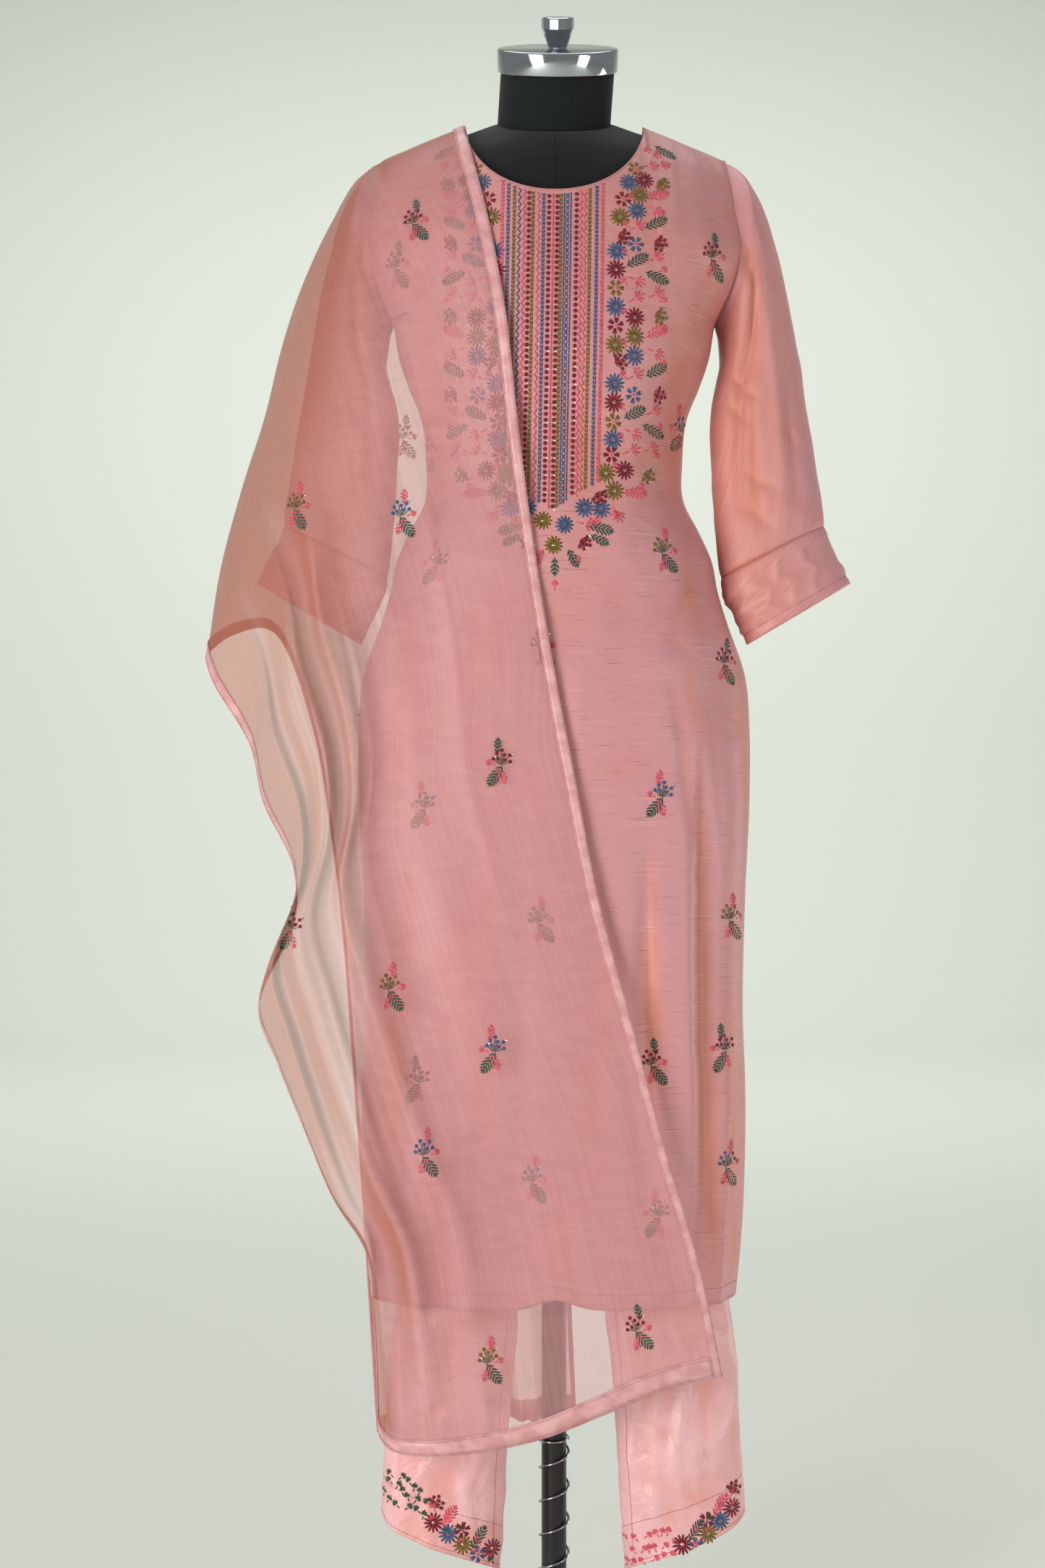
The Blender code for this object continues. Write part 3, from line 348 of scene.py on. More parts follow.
kameezSilk = makeSilk("kameezSilk", {
    "face": (0.65, 0.300, 0.335), "drifted": (0.68, 0.310, 0.315), "turned": (0.66, 0.240, 0.180),
    "dark": (0.33, 0.11, 0.10), "pale": (0.86, 0.50, 0.44),
    "roughness": 0.40, "slub": 0.645, "darkness": 0.75, "paleness": 0.5, "wrinkleScale": 22.0,
    "wrinkles": 0.10, "grain": 0.25, "sheen": 0.25, "sheenTint": (1.0, 0.62, 0.50), "specular": 0.55,
})
trouserSilk = makeSilk("trouserSilk", {
    "face": (0.86, 0.48, 0.52), "drifted": (0.88, 0.49, 0.49), "turned": (0.82, 0.37, 0.34),
    "dark": (0.50, 0.20, 0.20), "pale": (0.92, 0.62, 0.60),
    "roughness": 0.34, "slub": 0.70, "darkness": 0.35, "paleness": 0.35, "wrinkleScale": 26.0,
    "wrinkles": 0.32, "grain": 0.2, "sheen": 0.2, "sheenTint": (1.0, 0.75, 0.70), "specular": 0.65,
})


def makeOrganza(look):
    # sheer weave: pink over the body, with painted shade, deeper and browner, where it hangs free or stands in a fold,
    # and it covers more there
    material, tree, shader = newMaterial("organza", look["color"], look["roughness"])
    place = uvPlace(tree)
    grain = noiseNode(tree, place, (260, 5, 1))
    watered = noiseNode(tree, place, (14, 34, 1), distortion=2.2)
    tone = weighted(tree, grain, 0.5, product(tree, watered, 0.5))
    # painted shade: the turn point value mixes in the deep colour and adds cover
    foldShadeMask = pointValue(tree, "turn")
    color = mixColors(tree, rangeNode(tree, tone, 0.35, 0.65), look["color"], look["pale"])
    alpha = rangeNode(tree, tone, 0.3, 0.7, look["cover"] - 0.02, look["cover"] + 0.02)
    setInputs(tree, shader, {
        "Base Color": mixColors(tree, foldShadeMask, color, look["deep"]),
        "Alpha": weighted(tree, foldShadeMask, look["foldCover"], alpha),
        "Normal": bumpNode(tree, grain, 0.1, 0.0004),
        "Sheen Weight": 0.2, "Sheen Roughness": 0.3, "Sheen Tint": (1.0, 0.72, 0.62),
    })
    return material


def makeSatin(look):
    material, tree, shader = newMaterial("satinBinding", look["color"], look["roughness"])
    place = uvPlace(tree)
    ribs, pucker = noiseNode(tree, place, (500, 40, 1)), noiseNode(tree, place, (45, 60, 1))
    setInputs(tree, shader, {
        "Base Color": mixColors(tree, rangeNode(tree, pucker, 0.35, 0.65), look["color"], look["pale"]),
        "Normal": bumpNode(tree, weighted(tree, ribs, 0.25, pucker), 0.35, 0.0015),
        "Sheen Weight": 0.2, "Sheen Tint": (1.0, 0.8, 0.75),
    })
    return material


# deep is the colour of the painted shade where the sheet hangs free or stands in a fold
organza = makeOrganza({
    "color": (0.74, 0.35, 0.36), "pale": (0.80, 0.40, 0.39), "deep": (0.50, 0.165, 0.11),
    "roughness": 0.5, "cover": 0.44, "foldCover": 0.20,
})
satin = makeSatin({"color": (0.64, 0.30, 0.30), "pale": (0.78, 0.42, 0.42), "roughness": 0.38})


def makeJersey(look):
    # matte black jersey cover, with a seam down its middle below the neck
    material, tree, shader = newMaterial("blackJersey", look["color"], 0.85)
    place = objectPlace(tree)
    knit = noiseNode(tree, place, (900, 900, 500), 2.0, 0.6)
    lint = rangeNode(tree, noiseNode(tree, place, (160, 160, 160), 4.0, 0.7), 0.62, 0.78)
    color = mixColors(tree, product(tree, lint, 0.5), look["color"], look["lint"])
    parts = addNode(tree, "ShaderNodeSeparateXYZ", {"Vector": place}).outputs
    seam = rangeNode(tree, mathNode(tree, "ABSOLUTE", parts[0]), 0.0003, 0.0011, 1.0, 0.0)
    seam = product(tree, seam, rangeNode(tree, parts[2], 1.578, 1.582, 1.0, 0.0))
    setInputs(tree, shader, {
        "Base Color": mixColors(tree, seam, color, (0.003, 0.003, 0.003)),
        "Normal": bumpNode(tree, weighted(tree, seam, -4.0, knit), 0.4, 0.0005),
        "Sheen Weight": 0.10, "Sheen Roughness": 0.5, "Specular IOR Level": 0.25,
    })
    return material


def makeMetal(name, color, roughness, metallic, scuffs):
    material, tree, shader = newMaterial(name, color, roughness, metallic)
    wear = noiseNode(tree, objectPlace(tree), (60, 60, 60), 5.0, 0.65)
    setInputs(tree, shader, {"Roughness": rangeNode(tree, wear, 0.4, 0.8, roughness, roughness + scuffs)})
    return material


jersey = makeJersey({"color": (0.006, 0.009, 0.009), "lint": (0.04, 0.045, 0.045)})
chrome = makeMetal("chrome", (0.46, 0.49, 0.52), 0.07, 1.0, 0.12)
standPaint = makeMetal("standPaint", (0.012, 0.012, 0.013), 0.34, 0.0, 0.2)
print("materials made")


# kameez

kameez = {
    "wall": 0.0014, "hem": 0.416, "underarm": 1.398, "slitTop": 0.820, "slitPart": 0.009,
    "tip": (0.1756, 1.5699), "neck": (0.0911, 1.6017), "ridgeY": 0.010, "roll": 0.130,
    "neckDepth": (0.0917, 0.024), "armhole": (0.056, 0.050), "seamGap": 0.00015,
    # height, half width, front depth, back depth, squareness
    "body": (
        (0.416, 0.1860, 0.106, 0.112, 3.0), (0.450, 0.1895, 0.107, 0.113, 3.0), (0.500, 0.1933, 0.109, 0.115, 3.0),
        (0.620, 0.1950, 0.112, 0.118, 2.9), (0.700, 0.1915, 0.115, 0.120, 2.8), (0.800, 0.1935, 0.118, 0.122, 2.7),
        (0.920, 0.1990, 0.120, 0.124, 2.6), (0.980, 0.1992, 0.121, 0.124, 2.5), (1.040, 0.1945, 0.120, 0.120, 2.4),
        (1.096, 0.1755, 0.118, 0.112, 2.4), (1.126, 0.1665, 0.117, 0.106, 2.4), (1.155, 0.1610, 0.115, 0.100, 2.4),
        (1.185, 0.1480, 0.112, 0.094, 2.3), (1.214, 0.1330, 0.110, 0.090, 2.3), (1.260, 0.1310, 0.110, 0.088, 2.3),
        (1.303, 0.1360, 0.116, 0.089, 2.3), (1.333, 0.1480, 0.122, 0.091, 2.3), (1.3625, 0.1580, 0.126, 0.094, 2.3),
        (1.398, 0.1644, 0.126, 0.097, 2.4), (1.430, 0.1780, 0.122, 0.099, 2.4), (1.459, 0.1850, 0.117, 0.100, 2.4),
        (1.508, 0.1800, 0.108, 0.100, 2.3), (1.570, 0.1756, 0.100, 0.098, 2.2), (1.650, 0.1756, 0.098, 0.096, 2.2),
    ),
    # across, width, depth, top, bottom
    "frontFolds": (
        (-0.86, 0.07, 0.006, 0.98, 0.44), (-0.62, 0.06, 0.007, 0.66, 0.38), (-0.18, 0.09, 0.005, 0.95, 0.50),
        (0.46, 0.07, 0.006, 0.96, 0.52), (0.77, 0.07, 0.008, 1.04, 0.38), (0.95, 0.05, 0.006, 0.74, 0.38),
    ),
    "backFolds": (
        (-0.84, 0.09, -0.008, 1.02, 0.38), (-0.50, 0.10, -0.010, 0.96, 0.40), (-0.10, 0.10, -0.012, 1.02, 0.38),
        (0.28, 0.09, -0.009, 0.92, 0.42), (0.66, 0.10, -0.010, 1.00, 0.38),
    ),
    # x0, z0, x1, z1, width, lift, bow
    "frontCreases": (
        (0.142, 0.960, 0.158, 0.405, 0.008, -0.0034, 0.004), (0.124, 0.920, 0.142, 0.450, 0.009, 0.0028, 0.003),
        (0.089, 0.880, 0.097, 0.560, 0.007, -0.0026, 0.003), (0.1244, 0.985, 0.1385, 0.860, 0.005, -0.0026, 0.003),
        (0.110, 1.040, 0.128, 0.920, 0.006, -0.0024, -0.004), (0.148, 1.010, 0.165, 0.820, 0.006, 0.0022, 0.003),
        (-0.120, 0.560, -0.106, 0.400, 0.006, -0.0030, 0.002), (-0.085, 0.640, -0.080, 0.430, 0.008, 0.0018, 0.004),
        (-0.150, 0.900, -0.158, 0.520, 0.008, -0.0025, -0.004), (0.040, 0.760, 0.048, 0.470, 0.010, -0.0014, 0.005),
        (0.140, 1.385, 0.085, 1.350, 0.010, -0.0010, 0.006), (0.150, 1.372, 0.105, 1.290, 0.009, -0.0012, 0.008),
        (-0.140, 1.385, -0.085, 1.348, 0.010, -0.0010, -0.006),
        (-0.148, 1.370, -0.103, 1.290, 0.009, -0.0012, -0.008),
        (0.128, 1.262, 0.060, 1.236, 0.006, -0.0016, 0.004), (0.124, 1.228, 0.070, 1.190, 0.005, -0.0014, 0.003),
        (-0.126, 1.256, -0.066, 1.230, 0.006, -0.0016, -0.004), (0.118, 1.590, 0.122, 1.470, 0.006, 0.0016, 0.004),
        (0.150, 1.150, 0.112, 1.060, 0.007, -0.0016, 0.005), (-0.150, 1.140, -0.118, 1.050, 0.007, -0.0016, -0.005),
        (0.166, 1.445, 0.138, 1.400, 0.010, -0.0016, 0.003), (-0.166, 1.445, -0.138, 1.400, 0.010, -0.0016, -0.003),
        (-0.030, 1.120, -0.034, 0.930, 0.012, 0.0012, 0.006), (0.020, 1.060, 0.026, 0.800, 0.012, 0.0012, -0.004),
    ),
    "backCreases": (
        (-0.130, 0.980, -0.140, 0.430, 0.008, 0.0025, 0.004),
        (-0.060, 1.000, -0.066, 0.460, 0.009, -0.0022, -0.005),
        (0.015, 0.960, 0.010, 0.420, 0.008, 0.0024, 0.004), (0.078, 1.010, 0.088, 0.500, 0.008, -0.0026, 0.005),
        (0.138, 0.990, 0.150, 0.430, 0.007, 0.0026, -0.004), (0.120, 1.390, 0.060, 1.350, 0.008, -0.0022, 0.006),
        (-0.120, 1.386, -0.066, 1.342, 0.008, -0.0022, -0.006), (0.118, 1.240, 0.040, 1.215, 0.006, -0.0018, 0.004),
        (-0.116, 1.232, -0.050, 1.206, 0.006, -0.0018, -0.004), (0.100, 1.180, 0.030, 1.170, 0.006, -0.0015, 0.002),
        (0.120, 1.110, 0.080, 1.020, 0.008, -0.0018, 0.005), (-0.124, 1.100, -0.084, 1.010, 0.008, -0.0018, -0.005),
        (0.150, 1.450, 0.120, 1.400, 0.010, -0.0016, 0.003), (-0.150, 1.450, -0.120, 1.400, 0.010, -0.0016, -0.003),
    ),
    # x0, z0, x1, z1, width, strength, bow: bands of painted fold shade, where salmon is painted along the folds
    "turns": (
        (0.097, 0.880, 0.100, 0.620, 0.006, 0.85, 0.003), (0.143, 1.000, 0.157, 0.400, 0.009, 1.1, 0.005),
        (0.131, 1.060, 0.146, 0.960, 0.006, 0.8, 0.004), (0.176, 0.800, 0.181, 0.400, 0.006, 0.8, 0.002),
        (0.128, 1.200, 0.150, 1.060, 0.008, 0.55, 0.006), (0.118, 1.330, 0.124, 1.200, 0.010, 0.45, 0.004),
        (0.150, 1.420, 0.120, 1.300, 0.012, 0.35, 0.006), (-0.118, 1.340, -0.124, 1.190, 0.012, 0.6, -0.004),
        (-0.150, 1.130, -0.165, 0.860, 0.014, 0.9, -0.004), (-0.120, 0.560, -0.106, 0.400, 0.008, 0.8, 0.002),
        (-0.160, 0.860, -0.170, 0.430, 0.012, 0.9, -0.003), (0.012, 0.520, 0.010, 0.400, 0.010, 0.5, 0.002),
        (0.185, 1.060, 0.193, 0.860, 0.007, 0.8, 0.002), (-0.060, 0.900, -0.070, 0.500, 0.012, 0.35, 0.004),
    ),
    "seamDip": 0.0012, "hemDip": 0.0006, "hemRise": 0.011, "columns": (44, 30), "rows": (190, 54),
}
tipX, tipZ = kameez["tip"]
neckX, neckZ = kameez["neck"]


def shoulderLine(x):
    return tipZ + (neckZ - tipZ) * (tipX - np.abs(x)) / (tipX - neckX)


def bodySurface(side, across, height, folds=()):
    # outer face of the kameez: side -1 is the front, across is the sine of the angle from the middle
    halfWidth, front, back, square = np.moveaxis(readRows(kameez["body"], np.minimum(height, tipZ)), -1, 0)
    depth = front if side < 0 else back
    level = np.clip((height - kameez["underarm"]) / (tipZ - kameez["underarm"]), 0, 1)
    edge = 2 * kameez["armhole"][0 if side < 0 else 1] * np.sqrt(level * (1 - level))
    rim = np.abs(across) ** 10
    edge = edge * (rim + (1 - rim) * ease(0, 0.4, level))
    lean = np.sqrt(np.clip(1 - across ** 2, 0, 1))
    x = halfWidth * np.sign(across) * np.abs(across) ** (2 / square)
    roundPart = lean ** (2 / square)
    y = depth * roundPart + edge * (1 - roundPart) ** 2
    roll = np.sqrt(1 - (1 - np.clip((shoulderLine(x) - height) / kameez["roll"], 0, 1)) ** 2)
    away = np.zeros_like(x)
    for place, width, deep, top, bottom in folds:
        run = ease(top, top - 0.22, height) * ease(bottom - 0.06, bottom, height)
        away += deep * run * bell(x / halfWidth, place, width)
    y = side * (y - away * lean)
    return np.stack([x - away * across, kameez["ridgeY"] + (y - kameez["ridgeY"]) * roll, height], -1)


def roundParts(count):
    return (1 - np.cos(np.pi * np.arange(1, count + 1) / count)) / 2


def panelLattice(side, neckDepth, folds, creases, seed):
    neckCount, sideCount = kameez["columns"]
    lowRows, topRows = kameez["rows"]
    square = float(readRows(kameez["body"], tipZ)[3])
    neckAngle = math.asin((neckX / tipX) ** (square / 2))
    half = math.sin(neckAngle) * np.sin(np.pi / 2 * np.arange(neckCount) / neckCount)
    half = np.append(half, np.sin(neckAngle + (np.pi / 2 - neckAngle) * np.linspace(0, 1, sideCount + 1)))
    columns = np.append(-half[:0:-1], half)
    topX = tipX * np.abs(columns) ** (2 / square)
    scoop = neckZ - neckDepth * np.sqrt(np.clip(1 - (topX / neckX) ** 2, 0, 1))
    shoulder = topX > neckX - 1e-5
    tops = np.where(shoulder, shoulderLine(topX), scoop)
    low = np.linspace(kameez["hem"], kameez["underarm"], lowRows + 1)[:, None] + np.zeros(len(columns))
    high = kameez["underarm"] + roundParts(topRows)[:, None] * (tops - kameez["underarm"])
    height = np.concatenate([low, high])
    across = columns + np.zeros_like(height)
    lattice = bodySurface(side, across, height, folds)
    lattice[-1, shoulder, 1] = kameez["ridgeY"]
    parted = ease(kameez["slitTop"], kameez["hem"], height) * kameez["slitPart"] * np.abs(across) ** 6
    lattice[..., 1] += side * (kameez["seamGap"] + parted)
    normals = latticeNormals(lattice, (0.0, 0.0, 1.0))
    middle = len(columns) // 2
    for hand in (1, -1):  # the columns at the neck's corners lie close together, so they lean alike
        normals[:, middle + hand * neckCount] = normals[:, middle + hand * (neckCount - 1)]
    u, v = arcLengths(lattice)
    quiet = ease(1.0, 0.93, np.abs(across)) * ease(0, 0.012, tops - height)
    hemQuiet = ease(kameez["hem"], kameez["hem"] + 0.02, height)
    push = creaseField(lattice[..., 0], lattice[..., 2], creases) * (0.35 + 0.65 * hemQuiet)
    push += 0.0016 * softNoise(u * 1.6, v * 0.7, 0.055, seed) + 0.0007 * softNoise(u, v, 0.021, seed + 1)
    push *= quiet
    sideSeam = ease(kameez["underarm"] + 0.01, kameez["underarm"] - 0.02, height)
    push -= kameez["seamDip"] * sideSeam * bell(np.abs(u), np.abs(u[:, -1:]), 0.004)
    push -= kameez["hemDip"] * bell(height, kameez["hem"] + 0.012, 0.0012)
    rise = bell(lattice[..., 0], -0.0005, 0.022) * ease(kameez["hem"] + 0.05, kameez["hem"], height)
    # painted shade: salmon along the bands of the turns table, in the crease troughs and at the sides where the panel
    # turns away; random salmon patches, and more salmon higher up, from the waist to below the bust
    turn = creaseField(lattice[..., 0], lattice[..., 2], kameez["turns"]) + 0.4 * bell(np.abs(across), 1, 0.05)
    turn += 0.2 * ease(0.1, 0.9, softNoise(u, v, 0.09, seed + 7)) - 190 * np.minimum(push, 0)
    turn += 0.3 * ease(1.10, 1.35, height)
    lattice = lattice + normals * push[..., None]
    if side < 0:
        lattice[..., 2] += kameez["hemRise"] * rise
    return lattice, turn


def sleeveRing(hand, place, angles):
    outerX, outerZ, innerX, innerZ, middle, halfDepth = readRows(sleeves["rows"], place)
    outer, inner = np.array([outerX, 0, outerZ]), np.array([innerX, 0, innerZ])
    ring = (outer + inner) / 2 + (outer - inner) / 2 * np.cos(angles)[:, None]
    ring[:, 1] = middle - halfDepth * np.sin(angles)
    ring[:, 0] += sleeves["bow"] * max(1 - place / 0.34, 0) ** 2 * np.sin(angles) ** 2
    return ring * (hand, 1, 1)


sleeves = {
    "start": 0.04, "cuffSeam": 0.84, "bow": 0.018, "rings": 110, "cuffRings": 22,
    # place, outer x, outer z, inner x, inner z, middle, half depth
    "rows": (
        (0.04, 0.1915, 1.5560, 0.1670, 1.3880, 0.000, 0.054), (0.14, 0.2130, 1.5200, 0.1690, 1.3720, 0.000, 0.054),
        (0.25, 0.2285, 1.4700, 0.1700, 1.3560, 0.000, 0.052), (0.36, 0.2410, 1.4150, 0.1660, 1.3370, -0.003, 0.047),
        (0.47, 0.2500, 1.3600, 0.1605, 1.3150, -0.006, 0.043),
        (0.58, 0.2575, 1.3130, 0.1580, 1.2820, -0.009, 0.041),
        (0.68, 0.2645, 1.2680, 0.1600, 1.2380, -0.012, 0.040),
        (0.77, 0.2710, 1.2240, 0.1645, 1.1840, -0.015, 0.038),
        (0.84, 0.2745, 1.1914, 0.1689, 1.1396, -0.017, 0.036),
        (1.00, 0.3000, 1.1329, 0.1963, 1.0715, -0.020, 0.034),
    ),
    # x0, z0, x1, z1, width, lift, bow, as seen from the front on the wearer's left, mirrored on the right
    "frontCreases": (
        (0.174, 1.520, 0.203, 1.430, 0.008, -0.0075, 0.006), (0.202, 1.450, 0.188, 1.330, 0.007, -0.0075, -0.004),
        (0.189, 1.370, 0.185, 1.190, 0.008, -0.0050, 0.003), (0.211, 1.420, 0.229, 1.150, 0.010, 0.0042, -0.005),
        (0.200, 1.330, 0.206, 1.170, 0.006, -0.0025, 0.003), (0.172, 1.350, 0.205, 1.315, 0.006, -0.0030, 0.004),
        (0.170, 1.320, 0.198, 1.290, 0.005, -0.0022, 0.003), (0.232, 1.350, 0.246, 1.200, 0.007, -0.0022, 0.003),
        (0.196, 1.540, 0.212, 1.450, 0.008, 0.0022, 0.003), (0.185, 1.250, 0.230, 1.222, 0.005, -0.0020, 0.004),
        (0.178, 1.215, 0.222, 1.180, 0.005, -0.0018, -0.003), (0.225, 1.300, 0.250, 1.262, 0.005, -0.0015, 0.003),
    ),
    "backCreases": (
        (0.186, 1.500, 0.198, 1.400, 0.008, -0.0045, 0.004), (0.205, 1.420, 0.196, 1.250, 0.009, -0.0035, -0.005),
        (0.225, 1.400, 0.238, 1.190, 0.009, 0.0028, 0.004), (0.172, 1.345, 0.212, 1.318, 0.006, -0.0028, 0.004),
        (0.171, 1.310, 0.216, 1.286, 0.006, -0.0026, -0.003), (0.178, 1.262, 0.215, 1.232, 0.005, -0.0018, 0.003),
        (0.240, 1.330, 0.232, 1.250, 0.006, -0.0020, 0.003),
    ),
}


def sleeveLattice(hand, seed):
    # from the armhole seam to the end of the cuff, and the row where the cuff starts
    count = 2 * kameez["rows"][1]
    angles = 2 * np.pi * np.arange(count + 1) / count
    heights = kameez["underarm"] + np.append(0, roundParts(kameez["rows"][1])) * (tipZ - kameez["underarm"])
    across = np.full(len(heights), float(hand))
    front, back = bodySurface(-1, across, heights[::-1]), bodySurface(1, across, heights)
    start = np.concatenate([front, back[1:]]) + (hand * 0.0003, 0, 0)
    first = sleeveRing(hand, sleeves["start"], angles)
    tuck = start - (hand * 0.006, 0, 0)
    tuck += (np.array([hand * 0.10, kameez["ridgeY"], 1.47]) - tuck) * (0, 0.035, 0.02)
    rings = [tuck, start - (hand * 0.0004, 0, 0)]
    rings += [start * (1 - t) + first * t for t in (0.12, 0.3, 0.5, 0.75)]
    places = np.linspace(sleeves["start"], sleeves["cuffSeam"], sleeves["rings"])
    split = len(rings) + len(places) - 1
    places = np.append(places, np.linspace(sleeves["cuffSeam"], 1, sleeves["cuffRings"])[1:])
    lattice = np.array(rings + [sleeveRing(hand, place, angles) for place in places])
    for _ in range(6):  # softens the line where the sleeve head meets the tube
        lattice[2:14] = lattice[2:14] * 0.4 + (lattice[1:13] + lattice[3:15]) * 0.3
    normals = latticeNormals(lattice, (hand * 0.21, -0.01, 1.30), closed=True)
    x, y, z = lattice[..., 0] * hand, lattice[..., 1], lattice[..., 2]
    facing = np.clip(-normals[..., 1] * 1.4, 0, 1)
    behind = np.clip(normals[..., 1] * 1.4, 0, 1)
    push = creaseField(x, z, sleeves["frontCreases"]) * facing + creaseField(x, z, sleeves["backCreases"]) * behind
    ringNoise = softNoise(y + 0.3, z, 0.05, seed) + 0.5 * softNoise(x, z + y, 0.02, seed + 1)
    push += 0.0010 * ringNoise
    row = np.arange(len(lattice))[:, None]
    push *= ease(1, 9, row) * (1 - 0.55 * ease(split - 6, split, row))
    push -= 0.0007 * bell(row, 1.6, 0.8) + 0.0011 * bell(row, split, 0.9)
    push += 0.0010 * ease(split, split + 2, row)
    last = len(lattice) - 1
    onCuff = ease(split + 1, split + 5, row) * (1 - 0.75 * ease(last - 7, last, row))
    push += onCuff * 0.0036 * (crumple(x * 0.8, z + y * 0.3, 0.018, seed + 2) - 0.4)
    push -= 0.0007 * bell(row, last - 3, 0.7)
    # painted shade: salmon on the inner half of the sleeve, facing the body, and in the crease troughs, with random
    # salmon patches
    inner = ease(0.9, -0.6, (np.cos(angles) - 0.05)[None, :]) * ease(0, 12, row)
    turn = 0.6 * inner + 0.25 * ease(0.0, 0.8, ringNoise) - 230 * np.minimum(push, 0)
    return lattice + normals * push[..., None], turn, split


def makeKameez():
    pieces = []
    frontNeck, backNeck = kameez["neckDepth"]
    for word, side, neckDepth, seed in (("Front", -1, frontNeck, 11), ("Back", 1, backNeck, 23)):
        face = word.lower()
        lattice, turn = panelLattice(side, neckDepth, kameez[face + "Folds"], kameez[face + "Creases"], seed)
        pieces.append(addCloth("kameez" + word, lattice, (0.0, side * -0.05, 1.0), kameez["wall"], kameezSilk,
                               ["kameez_" + face], turn=turn))
    for word, hand, seed in (("Left", 1, 31), ("Right", -1, 47)):
        lattice, turn, split = sleeveLattice(hand, seed)
        parts = (("sleeve", slice(split + 1), (hand * 0.21, -0.01, 1.32)),
                 ("cuff", slice(split, None), (hand * 0.235, -0.018, 1.13)))
        for part, rows, inside in parts:
            pieces.append(addCloth(part + word, lattice[rows], inside, kameez["wall"], kameezSilk,
                                   [part + "_" + word.lower()], closed=True, turn=turn[rows]))
    return pieces


kameezPieces = makeKameez()
print("kameez made")


# trousers

trousers = {
    "wall": 0.0012, "waist": 1.150, "band": 0.035, "crotch": 0.800, "inset": 0.0085, "shift": 0.008,
    "hem": (0.205, 0.142), "legMiddle": -0.046, "columns": 44, "rows": 150,
    "seamGap": 0.00015, "faceGap": 0.0001, "back": 0.0065,
    # height, outer, inner, half depth, follow, shift
    "leg": (
        (0.130, 0.184, 0.0640, 0.035, 0.0, 1.0), (0.205, 0.181, 0.0590, 0.035, 0.0, 1.0),
        (0.290, 0.176, 0.0540, 0.033, 0.0, 1.0), (0.360, 0.173, 0.0480, 0.031, 0.0, 1.0),
        (0.420, 0.166, 0.0420, 0.029, 0.0, 0.8), (0.550, 0.160, 0.0280, 0.027, 0.05, 0.4),
        (0.680, 0.156, 0.0120, 0.020, 0.35, 0.0), (0.800, 0.153, 0.0020, 0.009, 0.85, 0.0),
        (0.860, 0.151, 0.0004, 0.0018, 1.0, 0.0), (1.000, 0.144, 0.0004, 0.0016, 1.0, 0.0),
        (1.150, 0.112, 0.0004, 0.0016, 1.0, 0.0), (1.200, 0.100, 0.0004, 0.0016, 1.0, 0.0),
    ),
    # x0, z0, x1, z1, width, lift, bow
    "leftCreases": (
        (0.110, 0.420, 0.098, 0.180, 0.007, 0.0030, 0.004), (0.135, 0.430, 0.150, 0.220, 0.006, -0.0026, -0.005),
        (0.085, 0.400, 0.082, 0.250, 0.005, -0.0022, 0.003), (0.160, 0.410, 0.120, 0.300, 0.006, 0.0022, 0.004),
        (0.090, 0.300, 0.150, 0.270, 0.005, -0.0020, 0.004), (0.100, 0.235, 0.160, 0.215, 0.005, -0.0018, -0.003),
        (0.125, 0.360, 0.128, 0.190, 0.004, 0.0016, 0.006),
    ),
    "rightCreases": (
        (-0.120, 0.440, -0.128, 0.200, 0.008, 0.0026, 0.005),
        (-0.070, 0.430, -0.060, 0.220, 0.006, -0.0022, -0.004),
        (-0.150, 0.420, -0.145, 0.250, 0.006, -0.0024, 0.004),
        (-0.090, 0.330, -0.140, 0.290, 0.006, -0.0020, 0.004),
        (-0.060, 0.260, -0.120, 0.235, 0.005, -0.0018, -0.003),
        (-0.100, 0.380, -0.092, 0.200, 0.005, 0.0018, -0.005),
    ),
}


def trouserSurface(hand, side, around, height):
    outer, inner, halfDepth, follow, shift = np.moveaxis(readRows(trousers["leg"], height), -1, 0)
    joined = ease(trousers["crotch"], trousers["crotch"] + 0.07, height)
    legX, seatX = (1 + np.cos(np.pi * around)) / 2, np.cos(np.pi / 2 * around)
    legY = np.clip(np.sin(np.pi * around), 0, 1) ** 0.8
    seatY = np.clip(np.sin(np.pi / 2 * around), 0, 1) ** 0.5
    x = inner + (outer - inner) * (legX + (seatX - legX) * joined)
    thickness = halfDepth * (legY + (seatY - legY) * joined)
    halfWidth, front, _, square = np.moveaxis(readRows(kameez["body"], height), -1, 0)
    reach = halfWidth - trousers["inset"]
    bent = (front - trousers["inset"]) * np.clip(1 - (x / reach) ** square, 0, 1) ** (1 / square)
    middle = trousers["legMiddle"] + (-bent - trousers["legMiddle"]) * follow
    x = hand * np.maximum(x, trousers["seamGap"]) + trousers["shift"] * shift
    return np.stack([x, middle + side * (thickness + trousers["faceGap"]), height], -1)


